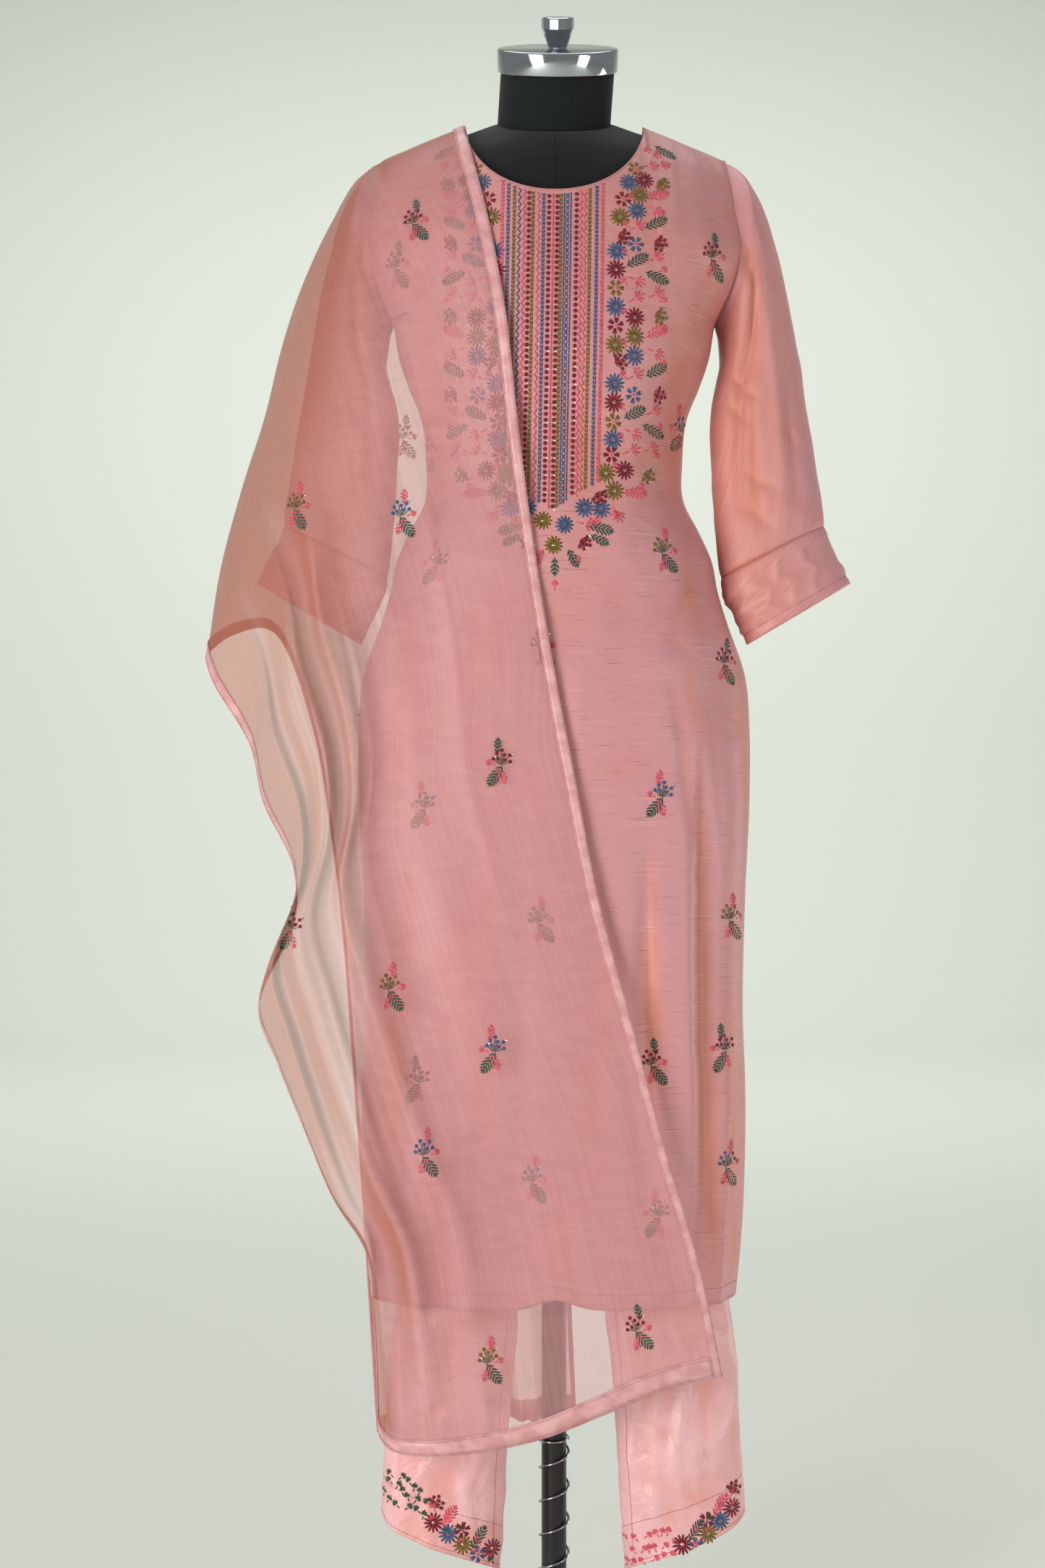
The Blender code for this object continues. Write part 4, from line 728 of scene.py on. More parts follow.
def trouserLattice(hand, side, seed):
    around = np.linspace(0, 1, trousers["columns"] + 1)
    outerHem, innerHem = trousers["hem"]
    hem = outerHem + (innerHem - outerHem) * around
    part = np.linspace(0, 1, trousers["rows"] + 1)[:, None] ** 1.25
    height = hem + (trousers["waist"] - hem) * part
    lattice = trouserSurface(hand, side, around + np.zeros_like(height), height)
    # clear of the kameez's creases in front
    lattice[..., 1] += trousers["back"] * ease(0.43, 0.50, height) * ease(0.92, 0.84, height)
    inside = (hand * 0.10, trousers["legMiddle"] - side * 0.04, 0.55)
    normals = latticeNormals(lattice, inside)
    u, v = arcLengths(lattice)
    shown = ease(0.66, 0.50, height) * np.sin(np.pi * around) ** 0.5
    rows = trousers["leftCreases"] if hand > 0 else trousers["rightCreases"]
    push = creaseField(lattice[..., 0], height, rows) * (1.0 if side < 0 else 0.8)
    push += 0.0052 * crumple(u, v * 0.6, 0.030, seed) - 0.0024 + 0.0018 * softNoise(u, v, 0.016, seed + 3)
    push *= 1 - 0.6 * ease(0.40, 0.44, height)
    push = push * shown - 0.0010 * bell(around, 1, 0.05) * ease(0.66, 0.5, height)
    # painted shade: salmon in the crease troughs of the shown part and on the outer side, more salmon from just below
    # the kameez hem upward, and random salmon patches; none at the inner seam
    turn = 0.9 * ease(0.1, 0.8, softNoise(u, v * 0.55, 0.032, seed + 9)) - 260 * np.minimum(push, 0) * shown
    turn += 0.35 * ease(0.36, 0.46, height) + 0.3 * bell(around, 0, 0.10)
    return lattice + normals * push[..., None], turn * (1 - bell(around, 1, 0.10)), inside


def waistbandRing(height, count):
    part = np.linspace(0, 1, count + 1)[:-1]
    level = np.full(count, float(height))
    ring = [trouserSurface(1, -1, part, level), trouserSurface(-1, -1, 1 - part, level)]
    ring += [trouserSurface(-1, 1, part, level), trouserSurface(1, 1, 1 - part, level)]
    ring = np.concatenate(ring)
    return np.concatenate([ring, ring[:1]])


def makeTrousers():
    pieces = []
    for word, hand in (("Left", 1), ("Right", -1)):
        for face, side in (("Front", -1), ("Back", 1)):
            lattice, turn, inside = trouserLattice(hand, side, 61 + hand * 7 + side * 3)
            node = f"trouser_{face.lower()}_{word.lower()}"
            pieces.append(addCloth("trouser" + face + word, lattice, inside, trousers["wall"], trouserSilk,
                                   [node], outward=True, turn=turn))
    low = trousers["waist"] + 0.0003
    band = np.array([waistbandRing(low + trousers["band"] * part, 16) for part in np.linspace(0, 1, 7)])
    pieces.append(addCloth("trouserWaistband", band, (0.0, -0.105, low), trousers["wall"], trouserSilk,
                           ["trouser_waistband"], closed=True, outward=True))
    return pieces


trouserPieces = makeTrousers()
print("trousers made")


# dress form and stand

form = {
    "capRadius": 0.0615, "capHeight": 0.023, "capTilt": 23, "capTop": (0.0035, -0.020, 1.6765),
    "poleRadius": 0.0127, "formBottom": 0.868, "baseRadius": 0.200, "baseThickness": 0.014,
    "collar": (0.024, 0.036), "wire": 0.00135, "springRadius": 0.0150, "pitch": 0.0344, "springTop": 0.262,
}


def roundedCopy(name, nodeName, material, levels):
    # smooth copy of a CAD solid: joined into quads, its hard rims creased, then subdivided
    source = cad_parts[nodeName]
    work = bmesh.new()
    work.from_mesh(source.data)
    bmesh.ops.remove_doubles(work, verts=work.verts[:], dist=0.00002)
    bmesh.ops.join_triangles(work, faces=work.faces[:], angle_face_threshold=0.5, angle_shape_threshold=1.2)
    rims = work.edges.layers.float.new("crease_edge")
    for edge in work.edges:
        if len(edge.link_faces) == 2 and edge.calc_face_angle() > 0.9:
            edge[rims] = 1.0
    mesh = finishedMesh(name, work)
    mesh.materials.clear()
    mesh.shade_smooth()
    obj = addPiece(name, mesh, material, [nodeName])
    smooth = obj.modifiers.new("smooth", "SUBSURF")
    smooth.levels = smooth.render_levels = levels
    return obj


def turnedPiece(name, profile, steps, material, nodeName, place=None, sharp=0.6):
    # profile of (radius, height) spun round Z
    work = bmesh.new()
    points = [work.verts.new((radius, 0, height)) for radius, height in profile]
    edges = [work.edges.new(pair) for pair in zip(points, points[1:])]
    bmesh.ops.spin(work, geom=points + edges, cent=(0, 0, 0), axis=(0, 0, 1), angle=2 * math.pi, steps=steps,
                   use_merge=True)
    bmesh.ops.remove_doubles(work, verts=work.verts[:], dist=0.00001)
    bmesh.ops.recalc_face_normals(work, faces=work.faces[:])
    for edge in work.edges:
        edge.smooth = len(edge.link_faces) < 2 or edge.calc_face_angle() < sharp
    for face in work.faces:
        face.smooth = True
    mesh = finishedMesh(name, work)
    if place:
        mesh.transform(place)
    return addPiece(name, mesh, material, [nodeName])


def makeSpring():
    low = form["collar"][1] + form["wire"] + 0.0003
    closedPitch = 2 * form["wire"] + 0.0006
    openTurns = (form["springTop"] - low - 2 * closedPitch) / form["pitch"]
    turns = openTurns + 2
    count = int(turns * 36)
    curve = bpy.data.curves.new("springWire", "CURVE")
    curve.dimensions = "3D"
    curve.bevel_depth = form["wire"]
    curve.bevel_resolution = 3
    curve.use_fill_caps = True
    line = curve.splines.new("POLY")
    line.points.add(count)
    for k, point in enumerate(line.points):
        turn = turns * k / count
        rise = min(turn, 1) * closedPitch + min(max(turn - 1, 0), openTurns) * form["pitch"]
        rise += max(turn - 1 - openTurns, 0) * closedPitch
        angle = 2 * math.pi * turn
        point.co = (form["springRadius"] * math.cos(angle), form["springRadius"] * math.sin(angle), low + rise, 1)
    temporary = bpy.data.objects.new("springWire", curve)
    scene.collection.objects.link(temporary)
    bpy.context.view_layer.update()
    mesh = bpy.data.meshes.new_from_object(temporary.evaluated_get(bpy.context.evaluated_depsgraph_get()))
    bpy.data.objects.remove(temporary)
    mesh.shade_smooth()
    mesh.materials.clear()
    return addPiece("standSpring", mesh, chrome, ["stand_spring"])


def makeForm():
    torso = roundedCopy("formTorso", "form_torso", jersey, 2)
    roundedCopy("formNeck", "form_neck", jersey, 2)
    place = Matrix.Translation(form["capTop"]) @ Matrix.Rotation(math.radians(form["capTilt"]), 4, "X")
    radius, height = form["capRadius"], form["capHeight"]
    cap = [(0, 0), (radius - 0.0022, 0), (radius - 0.0009, -0.0004), (radius - 0.0003, -0.0011), (radius, -0.0022)]
    cap += [(radius, 0.0016 - height), (radius - 0.0006, 0.0005 - height), (radius - 0.0018, -height), (0, -height)]
    turnedPiece("neckCap", cap, 96, chrome, "neck_cap", place)
    knob = [(0, 0.0300), (0.0140, 0.0300), (0.0155, 0.0295), (0.0163, 0.0285), (0.0163, 0.0192)]
    knob += [(0.0158, 0.0182), (0.0094, 0.0012), (0.0096, 0.0003), (0, 0.0003)]
    turnedPiece("neckCapKnob", knob, 12, chrome, "neck_cap_knob", place, sharp=0.3)
    top, pole = form["formBottom"], form["poleRadius"]
    profile = [(0, top), (pole, top), (pole, 0.0083), (0, 0.0083)]
    turnedPiece("standPole", profile, 48, standPaint, "stand_pole")
    reach, rise = form["collar"]
    thick, wide = form["baseThickness"], form["baseRadius"]
    base = [(0, 0.008), (pole + 0.0003, 0.008), (pole + 0.0003, rise), (reach - 0.002, rise)]
    base += [(reach - 0.0006, rise - 0.0006), (reach, rise - 0.002), (reach, thick + 0.006)]
    base += [(reach + 0.0018, thick + 0.0022), (reach + 0.006, thick), (wide - 0.008, thick - 0.002)]
    base += [(wide - 0.003, thick - 0.0038), (wide, thick - 0.008), (wide, 0.0015), (wide - 0.0015, 0), (0, 0)]
    turnedPiece("standBase", base, 128, standPaint, "stand_base")
    makeSpring()
    return torso


formTorso = makeForm()
print("form and stand made")


# dupatta

dupatta = {
    "clear": 0.0016, "binding": 0.0009, "columns": 96, "frontRows": 190, "backRows": 170,
    "inside": (-0.1, 0.0, 0.6), "raise": 0.0010,
    # place, x, y, z along each edge
    "frontInner": (
        (0.00, 0.1620, -0.118, 0.3560), (0.08, 0.1400, -0.122, 0.4600), (0.18, 0.1050, -0.124, 0.5800),
        (0.28, 0.0720, -0.126, 0.7050), (0.38, 0.0405, -0.128, 0.8230), (0.47, 0.0190, -0.128, 0.9350),
        (0.57, -0.0045, -0.124, 1.0600), (0.66, -0.0225, -0.118, 1.1740), (0.75, -0.0370, -0.120, 1.2850),
        (0.83, -0.0480, -0.130, 1.3850), (0.90, -0.0640, -0.105, 1.4750), (0.96, -0.0830, -0.054, 1.5580),
        (1.00, -0.0930, 0.008, 1.6035),
    ),
    "frontOuter": (
        (0.00, -0.1760, -0.040, 0.2950), (0.12, -0.1790, -0.050, 0.3900), (0.20, -0.1860, -0.055, 0.4650),
        (0.28, -0.2200, -0.060, 0.5200), (0.36, -0.2500, -0.060, 0.5900), (0.43, -0.2750, -0.055, 0.6500),
        (0.50, -0.2950, -0.050, 0.7100), (0.57, -0.2620, -0.055, 0.7850), (0.65, -0.2590, -0.058, 0.8450),
        (0.74, -0.2900, -0.048, 0.9100), (0.83, -0.3060, -0.036, 0.9700), (0.92, -0.3440, -0.018, 1.0300),
        (1.00, -0.3577, 0.004, 1.0620),
    ),
    "frontEnd": (
        (0.00, 0.1620, -0.118, 0.3560), (0.14, 0.1080, -0.122, 0.3440), (0.30, 0.0450, -0.124, 0.3190),
        (0.46, -0.0150, -0.124, 0.2960), (0.62, -0.0780, -0.124, 0.2830), (0.76, -0.1300, -0.120, 0.2790),
        (0.86, -0.1590, -0.106, 0.2800), (0.94, -0.1730, -0.075, 0.2860), (1.00, -0.1760, -0.040, 0.2950),
    ),
    "shoulder": (
        (0.00, -0.0930, 0.008, 1.6035), (0.07, -0.1300, 0.010, 1.5882), (0.15, -0.1740, 0.010, 1.5722),
        (0.22, -0.2020, 0.010, 1.5600), (0.31, -0.2320, 0.010, 1.5120), (0.42, -0.2600, 0.008, 1.4500),
        (0.53, -0.2810, 0.006, 1.3850), (0.64, -0.2990, 0.004, 1.3100), (0.76, -0.3220, 0.002, 1.2350),
        (0.88, -0.3440, 0.002, 1.1500), (1.00, -0.3577, 0.004, 1.0620),
    ),
    "backInner": (
        (0.00, -0.0930, 0.008, 1.6035), (0.05, -0.0900, 0.062, 1.5600), (0.12, -0.0820, 0.100, 1.4600),
        (0.25, -0.0650, 0.108, 1.2900), (0.45, -0.0300, 0.130, 1.0200), (0.70, 0.0050, 0.134, 0.6600),
        (1.00, 0.0260, 0.132, 0.2450),
    ),
    "backOuter": (
        (0.00, -0.3577, 0.004, 1.0620), (0.08, -0.3350, 0.045, 1.0850), (0.18, -0.2950, 0.080, 1.0900),
        (0.30, -0.2600, 0.108, 1.0000), (0.45, -0.2360, 0.125, 0.8500), (0.70, -0.2120, 0.132, 0.5600),
        (1.00, -0.1900, 0.128, 0.2280),
    ),
    "backEnd": ((0.00, 0.0260, 0.132, 0.2450), (0.50, -0.0800, 0.134, 0.2300), (1.00, -0.1900, 0.128, 0.2280)),
    # across, drift, width, depth, start, end
    "frontFolds": (
        (0.60, 0.06, 0.050, 0.020, 0.10, 0.96), (0.74, 0.03, 0.045, 0.030, 0.08, 1.00),
        (0.88, -0.02, 0.045, 0.026, 0.14, 1.02), (0.36, 0.10, 0.060, 0.006, 0.30, 0.80),
        (0.665, 0.05, 0.012, 0.010, 0.15, 0.98), (0.80, 0.02, 0.014, 0.012, 0.20, 1.00),
        (0.700, 0.04, 0.009, 0.014, 0.25, 1.02), (0.845, 0.00, 0.010, 0.015, 0.25, 1.02),
        (0.770, 0.03, 0.008, 0.010, 0.30, 1.00), (0.945, -0.01, 0.012, 0.012, 0.20, 0.95),
        (0.52, 0.09, 0.014, 0.005, 0.25, 0.92), (0.22, 0.05, 0.020, 0.003, 0.35, 0.85),
    ),
    "backFolds": (
        (0.12, 0.0, 0.055, 0.030, 0.10, 1.50), (0.36, 0.0, 0.060, 0.036, 0.06, 1.50),
        (0.61, 0.0, 0.055, 0.032, 0.04, 1.50), (0.86, 0.0, 0.055, 0.034, 0.10, 1.50),
        (0.24, 0.02, 0.016, 0.010, 0.12, 1.50), (0.49, -0.02, 0.016, 0.012, 0.10, 1.50),
        (0.73, 0.01, 0.014, 0.010, 0.12, 1.50),
    ),
}


def blendEdges(names, u, v):
    # patch between four edges that meet at their corners
    startSide, endSide, startRow, endRow = (dupatta[name] for name in names)
    a, b = u[None, :, None], v[:, None, None]
    side = readRows(startSide, v)[:, None] * (1 - a) + readRows(endSide, v)[:, None] * a
    row = readRows(startRow, u)[None] * (1 - b) + readRows(endRow, u)[None] * b
    low, high = readRows(startRow, np.array([0.0, 1.0])), readRows(endRow, np.array([0.0, 1.0]))
    corners = (low[0] * (1 - a) + low[1] * a) * (1 - b) + (high[0] * (1 - a) + high[1] * a) * b
    return side + row - corners


def layOn(points, tree, side):
    # depths that clear the pieces under the cloth, found by rays from the front or the back
    depths = points[..., 1].copy()
    for i, row in enumerate(points):
        for j, (x, y, z) in enumerate(row):
            hit = tree.ray_cast(Vector((x, side, z - 0.001)), Vector((0, -side, 0)))[0]
            if hit is not None:
                limit = hit.y + side * dupatta["clear"]
                depths[i, j] = min(y, limit) if side < 0 else max(y, limit)
    return depths


def smoothed(depths, passes):
    depths = depths.copy()
    for _ in range(passes):
        inner = (depths[:-2, 1:-1] + depths[2:, 1:-1] + depths[1:-1, :-2] + depths[1:-1, 2:]) / 4
        depths[1:-1, 1:-1] = depths[1:-1, 1:-1] * 0.4 + inner * 0.6
    return depths


def drapeLattice(names, folds, u, v, side, tree):
    points = blendEdges(names, u, v)
    rise = np.zeros((len(v), len(u)))
    for across, drift, width, depth, start, end in folds:
        middle = across + drift * (v[:, None] - 0.5)
        run = ease(start - 0.10, start + 0.15, v) * ease(end, end - 0.30, v)
        rise += depth * run[:, None] * bell(u[None, :], middle, width)
    points[..., 1] += side * rise
    for _ in range(3):
        depths = layOn(points, tree, side)
        soft = smoothed(depths, 5)
        points[..., 1] = np.minimum(depths, soft) if side < 0 else np.maximum(depths, soft)
    return points


def dupattaLattice():
    # from the front end over the shoulder to the back end, with close columns and rows where the bindings lie
    edge = 0.022
    u = np.concatenate([np.linspace(0, edge, 4), np.linspace(edge, 1 - edge, dupatta["columns"])[1:-1],
                        np.linspace(1 - edge, 1, 4)])
    tree = searchTree([formTorso] + kameezPieces + trouserPieces[:3])
    v = np.append(np.linspace(0, 0.016, 3), np.linspace(0.016, 1, dupatta["frontRows"])[1:])
    edges = ("frontInner", "frontOuter", "frontEnd", "shoulder")
    front = drapeLattice(edges, dupatta["frontFolds"], u, v, -1, tree)
    v = np.append(np.linspace(0, 0.984, dupatta["backRows"]), np.linspace(0.984, 1, 4)[1:])
    edges = ("backInner", "backOuter", "shoulder", "backEnd")
    back = drapeLattice(edges, dupatta["backFolds"], u, v, 1, tree)
    ridge = (front[-1] + back[0]) / 2
    whole = np.concatenate([front[:-1], ridge[None], back[1:]])
    bend = len(front) - 1
    for _ in range(8):
        part = whole[bend - 6:bend + 7]
        part[1:-1] = part[1:-1] * 0.4 + (part[:-2] + part[2:]) * 0.3
    for point in whole[bend - 12:bend + 13].reshape(-1, 3):  # up, clear of the shoulder
        hit = tree.ray_cast(Vector((point[0], point[1], 2.0)), Vector((0, 0, -1)))[0]
        if hit is not None:
            point[2] = max(point[2], hit.z + dupatta["clear"])
    return whole


def makeDupatta():
    whole, inside = dupattaLattice(), dupatta["inside"]
    normals = latticeNormals(whole, inside)
    # painted shade: where the sheet hangs free beside the body and in its steep folds, turn brings the deeper, browner
    # colour and more cover
    steep = smoothed(1 - np.abs(normals[..., 1]), 2)
    hangingShade = ease(-0.16, -0.24, whole[..., 0]) * ease(0.3, 0.5, whole[..., 2])
    turn = 0.75 * hangingShade + 2.4 * np.clip(steep - 0.10, 0, 1)
    stretches = ("front", "shoulder", "back")
    sheet = addPiece("dupattaSheet", gridMesh("dupattaSheet", whole, inside, turn=turn), organza,
                     ["dupatta_" + name for name in stretches])
    raised = whole + normals * dupatta["raise"]
    strips = (
        ("BindingInner", np.s_[:, :4], ["dupatta_binding_inner_" + name for name in stretches]),
        ("BindingOuter", np.s_[:, -4:], ["dupatta_binding_outer_" + name for name in stretches]),
        ("EndFront", np.s_[:3, 3:-3], ["dupatta_end_front"]),
        ("EndBack", np.s_[-4:, 3:-3], ["dupatta_end_back"]),
    )
    bands = []
    for word, part, nodes in strips:
        name = "dupatta" + word
        laid[name] = raised[part], normals[part]
        bands.append(addPiece(name, gridMesh(name, raised[part], inside), satin, nodes))
        addWall(bands[-1], dupatta["binding"], 0.0)
    return sheet, bands


dupattaSheet, dupattaBands = makeDupatta()
print("dupatta made")


# embroidery, sewing and sequins

threads = {
    "blue": (0.060, 0.120, 0.265), "crimson": (0.235, 0.007, 0.024), "olive": (0.215, 0.145, 0.015),
    "pink": (0.78, 0.120, 0.180), "green": (0.032, 0.105, 0.060), "rose": (0.74, 0.34, 0.35),
    "seam": (0.48, 0.18, 0.18), "silver": (0.85, 0.84, 0.83),
}
yoke = {
    "drift": 0.005, "bottom": (1.195, 0.55), "gap": 0.005,
    # x, thread, stitch
    "placket": (
        (-0.0511, "pink", "chain"), (-0.0455, "blue", "chain"), (-0.0397, "olive", "chain"),
        (-0.0347, "blue", "zigzag"),
        (-0.0302, "pink", "zigzag"), (-0.0257, "crimson", "knots"), (-0.0216, "olive", "chain"),
        (-0.0162, "pink", "zigzag"),
        (-0.0114, "blue", "chain"), (-0.0062, "crimson", "knots"), (-0.0020, "pink", "stem"),
        (0.0018, "crimson", "knots"),
        (0.0056, "olive", "chain"), (0.0088, "blue", "stem"), (0.0118, "blue", "cross"),
        (0.0152, "blue", "stem"), (0.0207, "crimson", "knots"),
        (0.0252, "pink", "zigzag"), (0.0291, "pink", "zigzag"), (0.0337, "olive", "chain"),
        (0.0406, "blue", "chain"),
        (0.0464, "pink", "chain"),
    ),
    # place, x, z, half width of the flower band on the wearer's left
    "band": (
        (0.00, 0.1000, 1.5740, 0.010), (0.09, 0.0905, 1.5380, 0.013), (0.18, 0.0800, 1.5040, 0.017),
        (0.32, 0.0755, 1.4500, 0.021), (0.52, 0.0745, 1.3700, 0.022), (0.72, 0.0730, 1.2900, 0.022),
        (0.84, 0.0680, 1.2430, 0.020), (0.92, 0.0500, 1.2080, 0.016), (1.00, 0.0240, 1.1800, 0.012),
    ),
    "steps": 22,
    # place along its step, place across in half widths, motifs to skip, motifs
    "lanes": (
        (0.25, -0.76, 1, ("wheelBlue", "wheelCrimson", "daisyOlive", "wheelBlue", "daisyCrimson", "wheelOlive",
                          "berriesCrimson")),
        (0.75, 0.10, 3, ("sprigPink", "wheelOlive", "daisyBlue", "sprigPink", "wheelBlue", "leafGreen", "wheelCrimson",
                         "sprigPink")),
        (0.45, 1.00, 1, ("leafGreen", "sprigPink", "berriesOlive", "leafPink", "sprigPink", "leafGreen",
                         "berriesCrimson", "sprigPink")),
    ),
}
sprays = {
    # x, z, berry thread, lean
    "kameezFront": (
        (0.1554, 1.4474, "crimson", 0.2), (0.1272, 1.2813, "blue", -0.2), (0.1061, 1.1553, "olive", 0.3),
        (0.1688, 1.0483, "crimson", 0.1),
        (0.1026, 0.9159, "blue", -0.3), (0.1744, 0.7941, "olive", 0.2), (0.1674, 0.6653, "crimson", -0.1),
        (0.0949, 0.6540, "crimson", 0.3),
        (0.1709, 0.5498, "blue", 0.1), (-0.0142, 1.0609, "crimson", 0.2), (-0.1290, 0.9054, "blue", -0.2),
        (-0.0157, 0.7941, "olive", 0.3),
        (-0.1346, 0.6364, "crimson", -0.2), (-0.0220, 0.5407, "blue", 0.2), (-0.1170, 1.1440, "olive", -0.3),
        (-0.1570, 1.4390, "crimson", 0.2),
        (-0.1304, 1.2623, "blue", 0.1), (0.1000, 0.5060, "olive", -0.2),
    ),
    "kameezBack": (
        (0.1200, 1.4700, "crimson", 0.2), (-0.1200, 1.4700, "blue", -0.2), (0.0000, 1.4000, "olive", 0.1),
        (0.0950, 1.3100, "blue", -0.2),
        (-0.0950, 1.3100, "crimson", 0.2), (0.0000, 1.2100, "crimson", -0.1), (0.1050, 1.1000, "olive", 0.2),
        (-0.1050, 1.1000, "blue", 0.2),
        (0.0000, 0.9900, "blue", -0.2), (0.1250, 0.8800, "crimson", 0.1), (-0.1250, 0.8800, "olive", 0.2),
        (0.0000, 0.7700, "crimson", 0.3),
        (0.1250, 0.6500, "blue", -0.2), (-0.1250, 0.6500, "crimson", -0.2), (0.0000, 0.5400, "olive", 0.2),
    ),
    "dupattaFront": (
        (-0.1390, 1.4810, "crimson", 0.3), (-0.0537, 0.9469, "crimson", -0.2), (-0.1260, 0.5730, "blue", 0.2),
        (0.0787, 0.3999, "crimson", 0.4),
        (-0.2560, 1.2008, "olive", 0.1), (-0.2560, 0.7880, "crimson", -0.2), (-0.1500, 1.1900, "blue", 0.2),
        (-0.1600, 0.7300, "olive", 0.2),
        (-0.0600, 0.6700, "blue", -0.2), (-0.0650, 0.3700, "olive", 0.2),
    ),
    "dupattaBack": (
        (-0.1600, 1.3000, "crimson", 0.2), (-0.0900, 1.1200, "blue", -0.2), (-0.2000, 1.0000, "olive", 0.2),
        (-0.0600, 0.8700, "crimson", 0.1),
        (-0.1600, 0.7400, "blue", 0.2), (-0.0500, 0.6000, "olive", -0.2), (-0.1500, 0.4700, "crimson", 0.2),
        (-0.0600, 0.3400, "blue", 0.2),
    ),
}


def beside(x, z, angle, reach):
    return x + math.cos(angle) * reach, z + math.sin(angle) * reach


def addStitch(marks, x, z, angle, length, thread, width):
    marks.append(("stitch", x, z, angle, length / 2, width, 0.00048, thread))


def addKnot(marks, x, z, thread, radius):
    marks.append(("stitch", x, z, 0.0, radius, radius, radius * 0.7, thread))


def addSequin(marks, x, z, radius):
    marks.append(("sequin", x, z, 0.0, radius, radius, radius, "silver"))


def addColumn(marks, x, top, bottom, thread, stitch):
    # one upright line of the placket, leaning as the cloth hangs
    step = {"chain": 0.0042, "zigzag": 0.0036, "knots": 0.0056, "stem": 0.0032, "cross": 0.0062}[stitch]
    for k in range(int((top - bottom) / step)):
        z = top - (k + 0.5) * step
        place = x - yoke["drift"] * (top - z) / (top - bottom)
        if stitch == "chain":
            for hand in (-1, 1):
                addStitch(marks, place + hand * 0.0008, z, math.pi / 2 - hand * 0.28, 0.0050, thread, 0.00092)
        elif stitch == "zigzag":
            addStitch(marks, place, z, 0.85 if k % 2 else -0.85, 0.0064, thread, 0.00085)
        elif stitch == "knots":
            addKnot(marks, place, z, thread, 0.0023)
            if k > 26 and k % 3 == 0:
                addSequin(marks, place + 0.0020, z - 0.0026, 0.0012)
        elif stitch == "stem":
            addStitch(marks, place, z, math.pi / 2 + 0.12, 0.0040, thread, 0.0009)
        else:
            for lean in (1.05, -1.05):
                addStitch(marks, place, z, lean, 0.0080, thread, 0.0008)
            addKnot(marks, place, z, thread, 0.0012)


def addWheel(marks, x, z, radius, thread, start=0.0):
    spokes, knots = 13, 6
    for k in range(spokes):
        angle = start + 2 * math.pi * k / spokes
        addStitch(marks, *beside(x, z, angle, 0.62 * radius), angle, 0.85 * radius, thread, 0.0013)
    for k in range(knots):
        angle = start + 2 * math.pi * (k + 0.5) / knots
        addKnot(marks, *beside(x, z, angle, 0.27 * radius), thread, 0.0015)
    if thread == "blue":
        addKnot(marks, x, z, "olive", 0.0011)
    else:
        addSequin(marks, x, z, 0.0014)


def addDaisy(marks, x, z, radius, thread, start):
    petals = 6
    for k in range(petals):
        angle = start + 2 * math.pi * k / petals
        for lean in (-0.22, 0.22):
            place = beside(x, z, angle + lean * 0.6, 0.6 * radius)
            addStitch(marks, *place, angle + lean, 0.78 * radius, thread, 0.0013)
    addKnot(marks, x, z, "pink", 0.0016)


def addLeaf(marks, x, z, angle, length, thread):
    # feather leaf from its foot at x, z
    pairs = max(4, int(length / 0.0033))
    for k in range(pairs):
        part = (k + 0.5) / pairs
        spread = 0.0074 * math.sin(math.pi * (0.18 + 0.72 * part)) * min(length / 0.018, 1.2)
        px, pz = beside(x, z, angle, length * part)
        addStitch(marks, px, pz, angle, length / pairs * 1.2, thread, 0.0006)
        for lean in (angle - 0.75, angle + 0.75):
            addStitch(marks, *beside(px, pz, lean, spread / 2), lean, spread * 1.1, thread, 0.00105)
    addStitch(marks, *beside(x, z, angle, length * 1.04), angle, 0.0044, thread, 0.0009)


def addSprig(marks, x, z, angle, thread, size):
    # small fan of five stitches on a short stem
    for k, lean in enumerate((-0.9, -0.45, 0.0, 0.45, 0.9)):
        reach = size * (0.62 + 0.14 * (2 - abs(k - 2)))
        addStitch(marks, *beside(x, z, angle + lean, reach / 2), angle + lean, reach * 0.85, thread, 0.00095)
    addStitch(marks, *beside(x, z, angle, size * -0.3), angle, size * 0.6, thread, 0.0008)


def addBerries(marks, x, z, angle, thread, size=1.0):
    # knots on thin stems, with sequins between them
    stems = ((7.5, -1.0), (10, -0.55), (8, -0.15), (11, 0.1), (9, 0.5), (7, 1.0), (5, -0.5), (5, 0.55))
    for k, (millimetres, lean) in enumerate(stems):
        reach = millimetres * 0.001 * size
        px, pz = beside(x, z, angle + lean, reach)
        stem = "green" if size > 1.1 else thread
        addStitch(marks, (x + px) / 2, (z + pz) / 2, angle + lean, reach * 0.9, stem, 0.0005)
        addKnot(marks, px, pz, thread, 0.0021)
        if k % 4 == 1:
            addSequin(marks, px + 0.0028, pz + 0.0014, 0.0013)


def addMotif(marks, kind, x, z, angle, turnBy):
    # kind is a shape and a thread, as in wheelBlue
    thread = next(name for name in threads if kind.lower().endswith(name))
    if kind.startswith("wheel"):
        addWheel(marks, x, z, 0.0102, thread, turnBy)
    elif kind.startswith("daisy"):
        addDaisy(marks, x, z, 0.0090, thread, turnBy)
    elif kind.startswith("leaf"):
        addLeaf(marks, *beside(x, z, angle, -0.010), angle, 0.023, thread)
    elif kind.startswith("berries"):
        addBerries(marks, x, z, angle, thread, 1.1)
    else:
        addSprig(marks, x, z, angle, thread, 0.0155)


def bandAt(place):
    return readRows(yoke["band"], np.array(place))


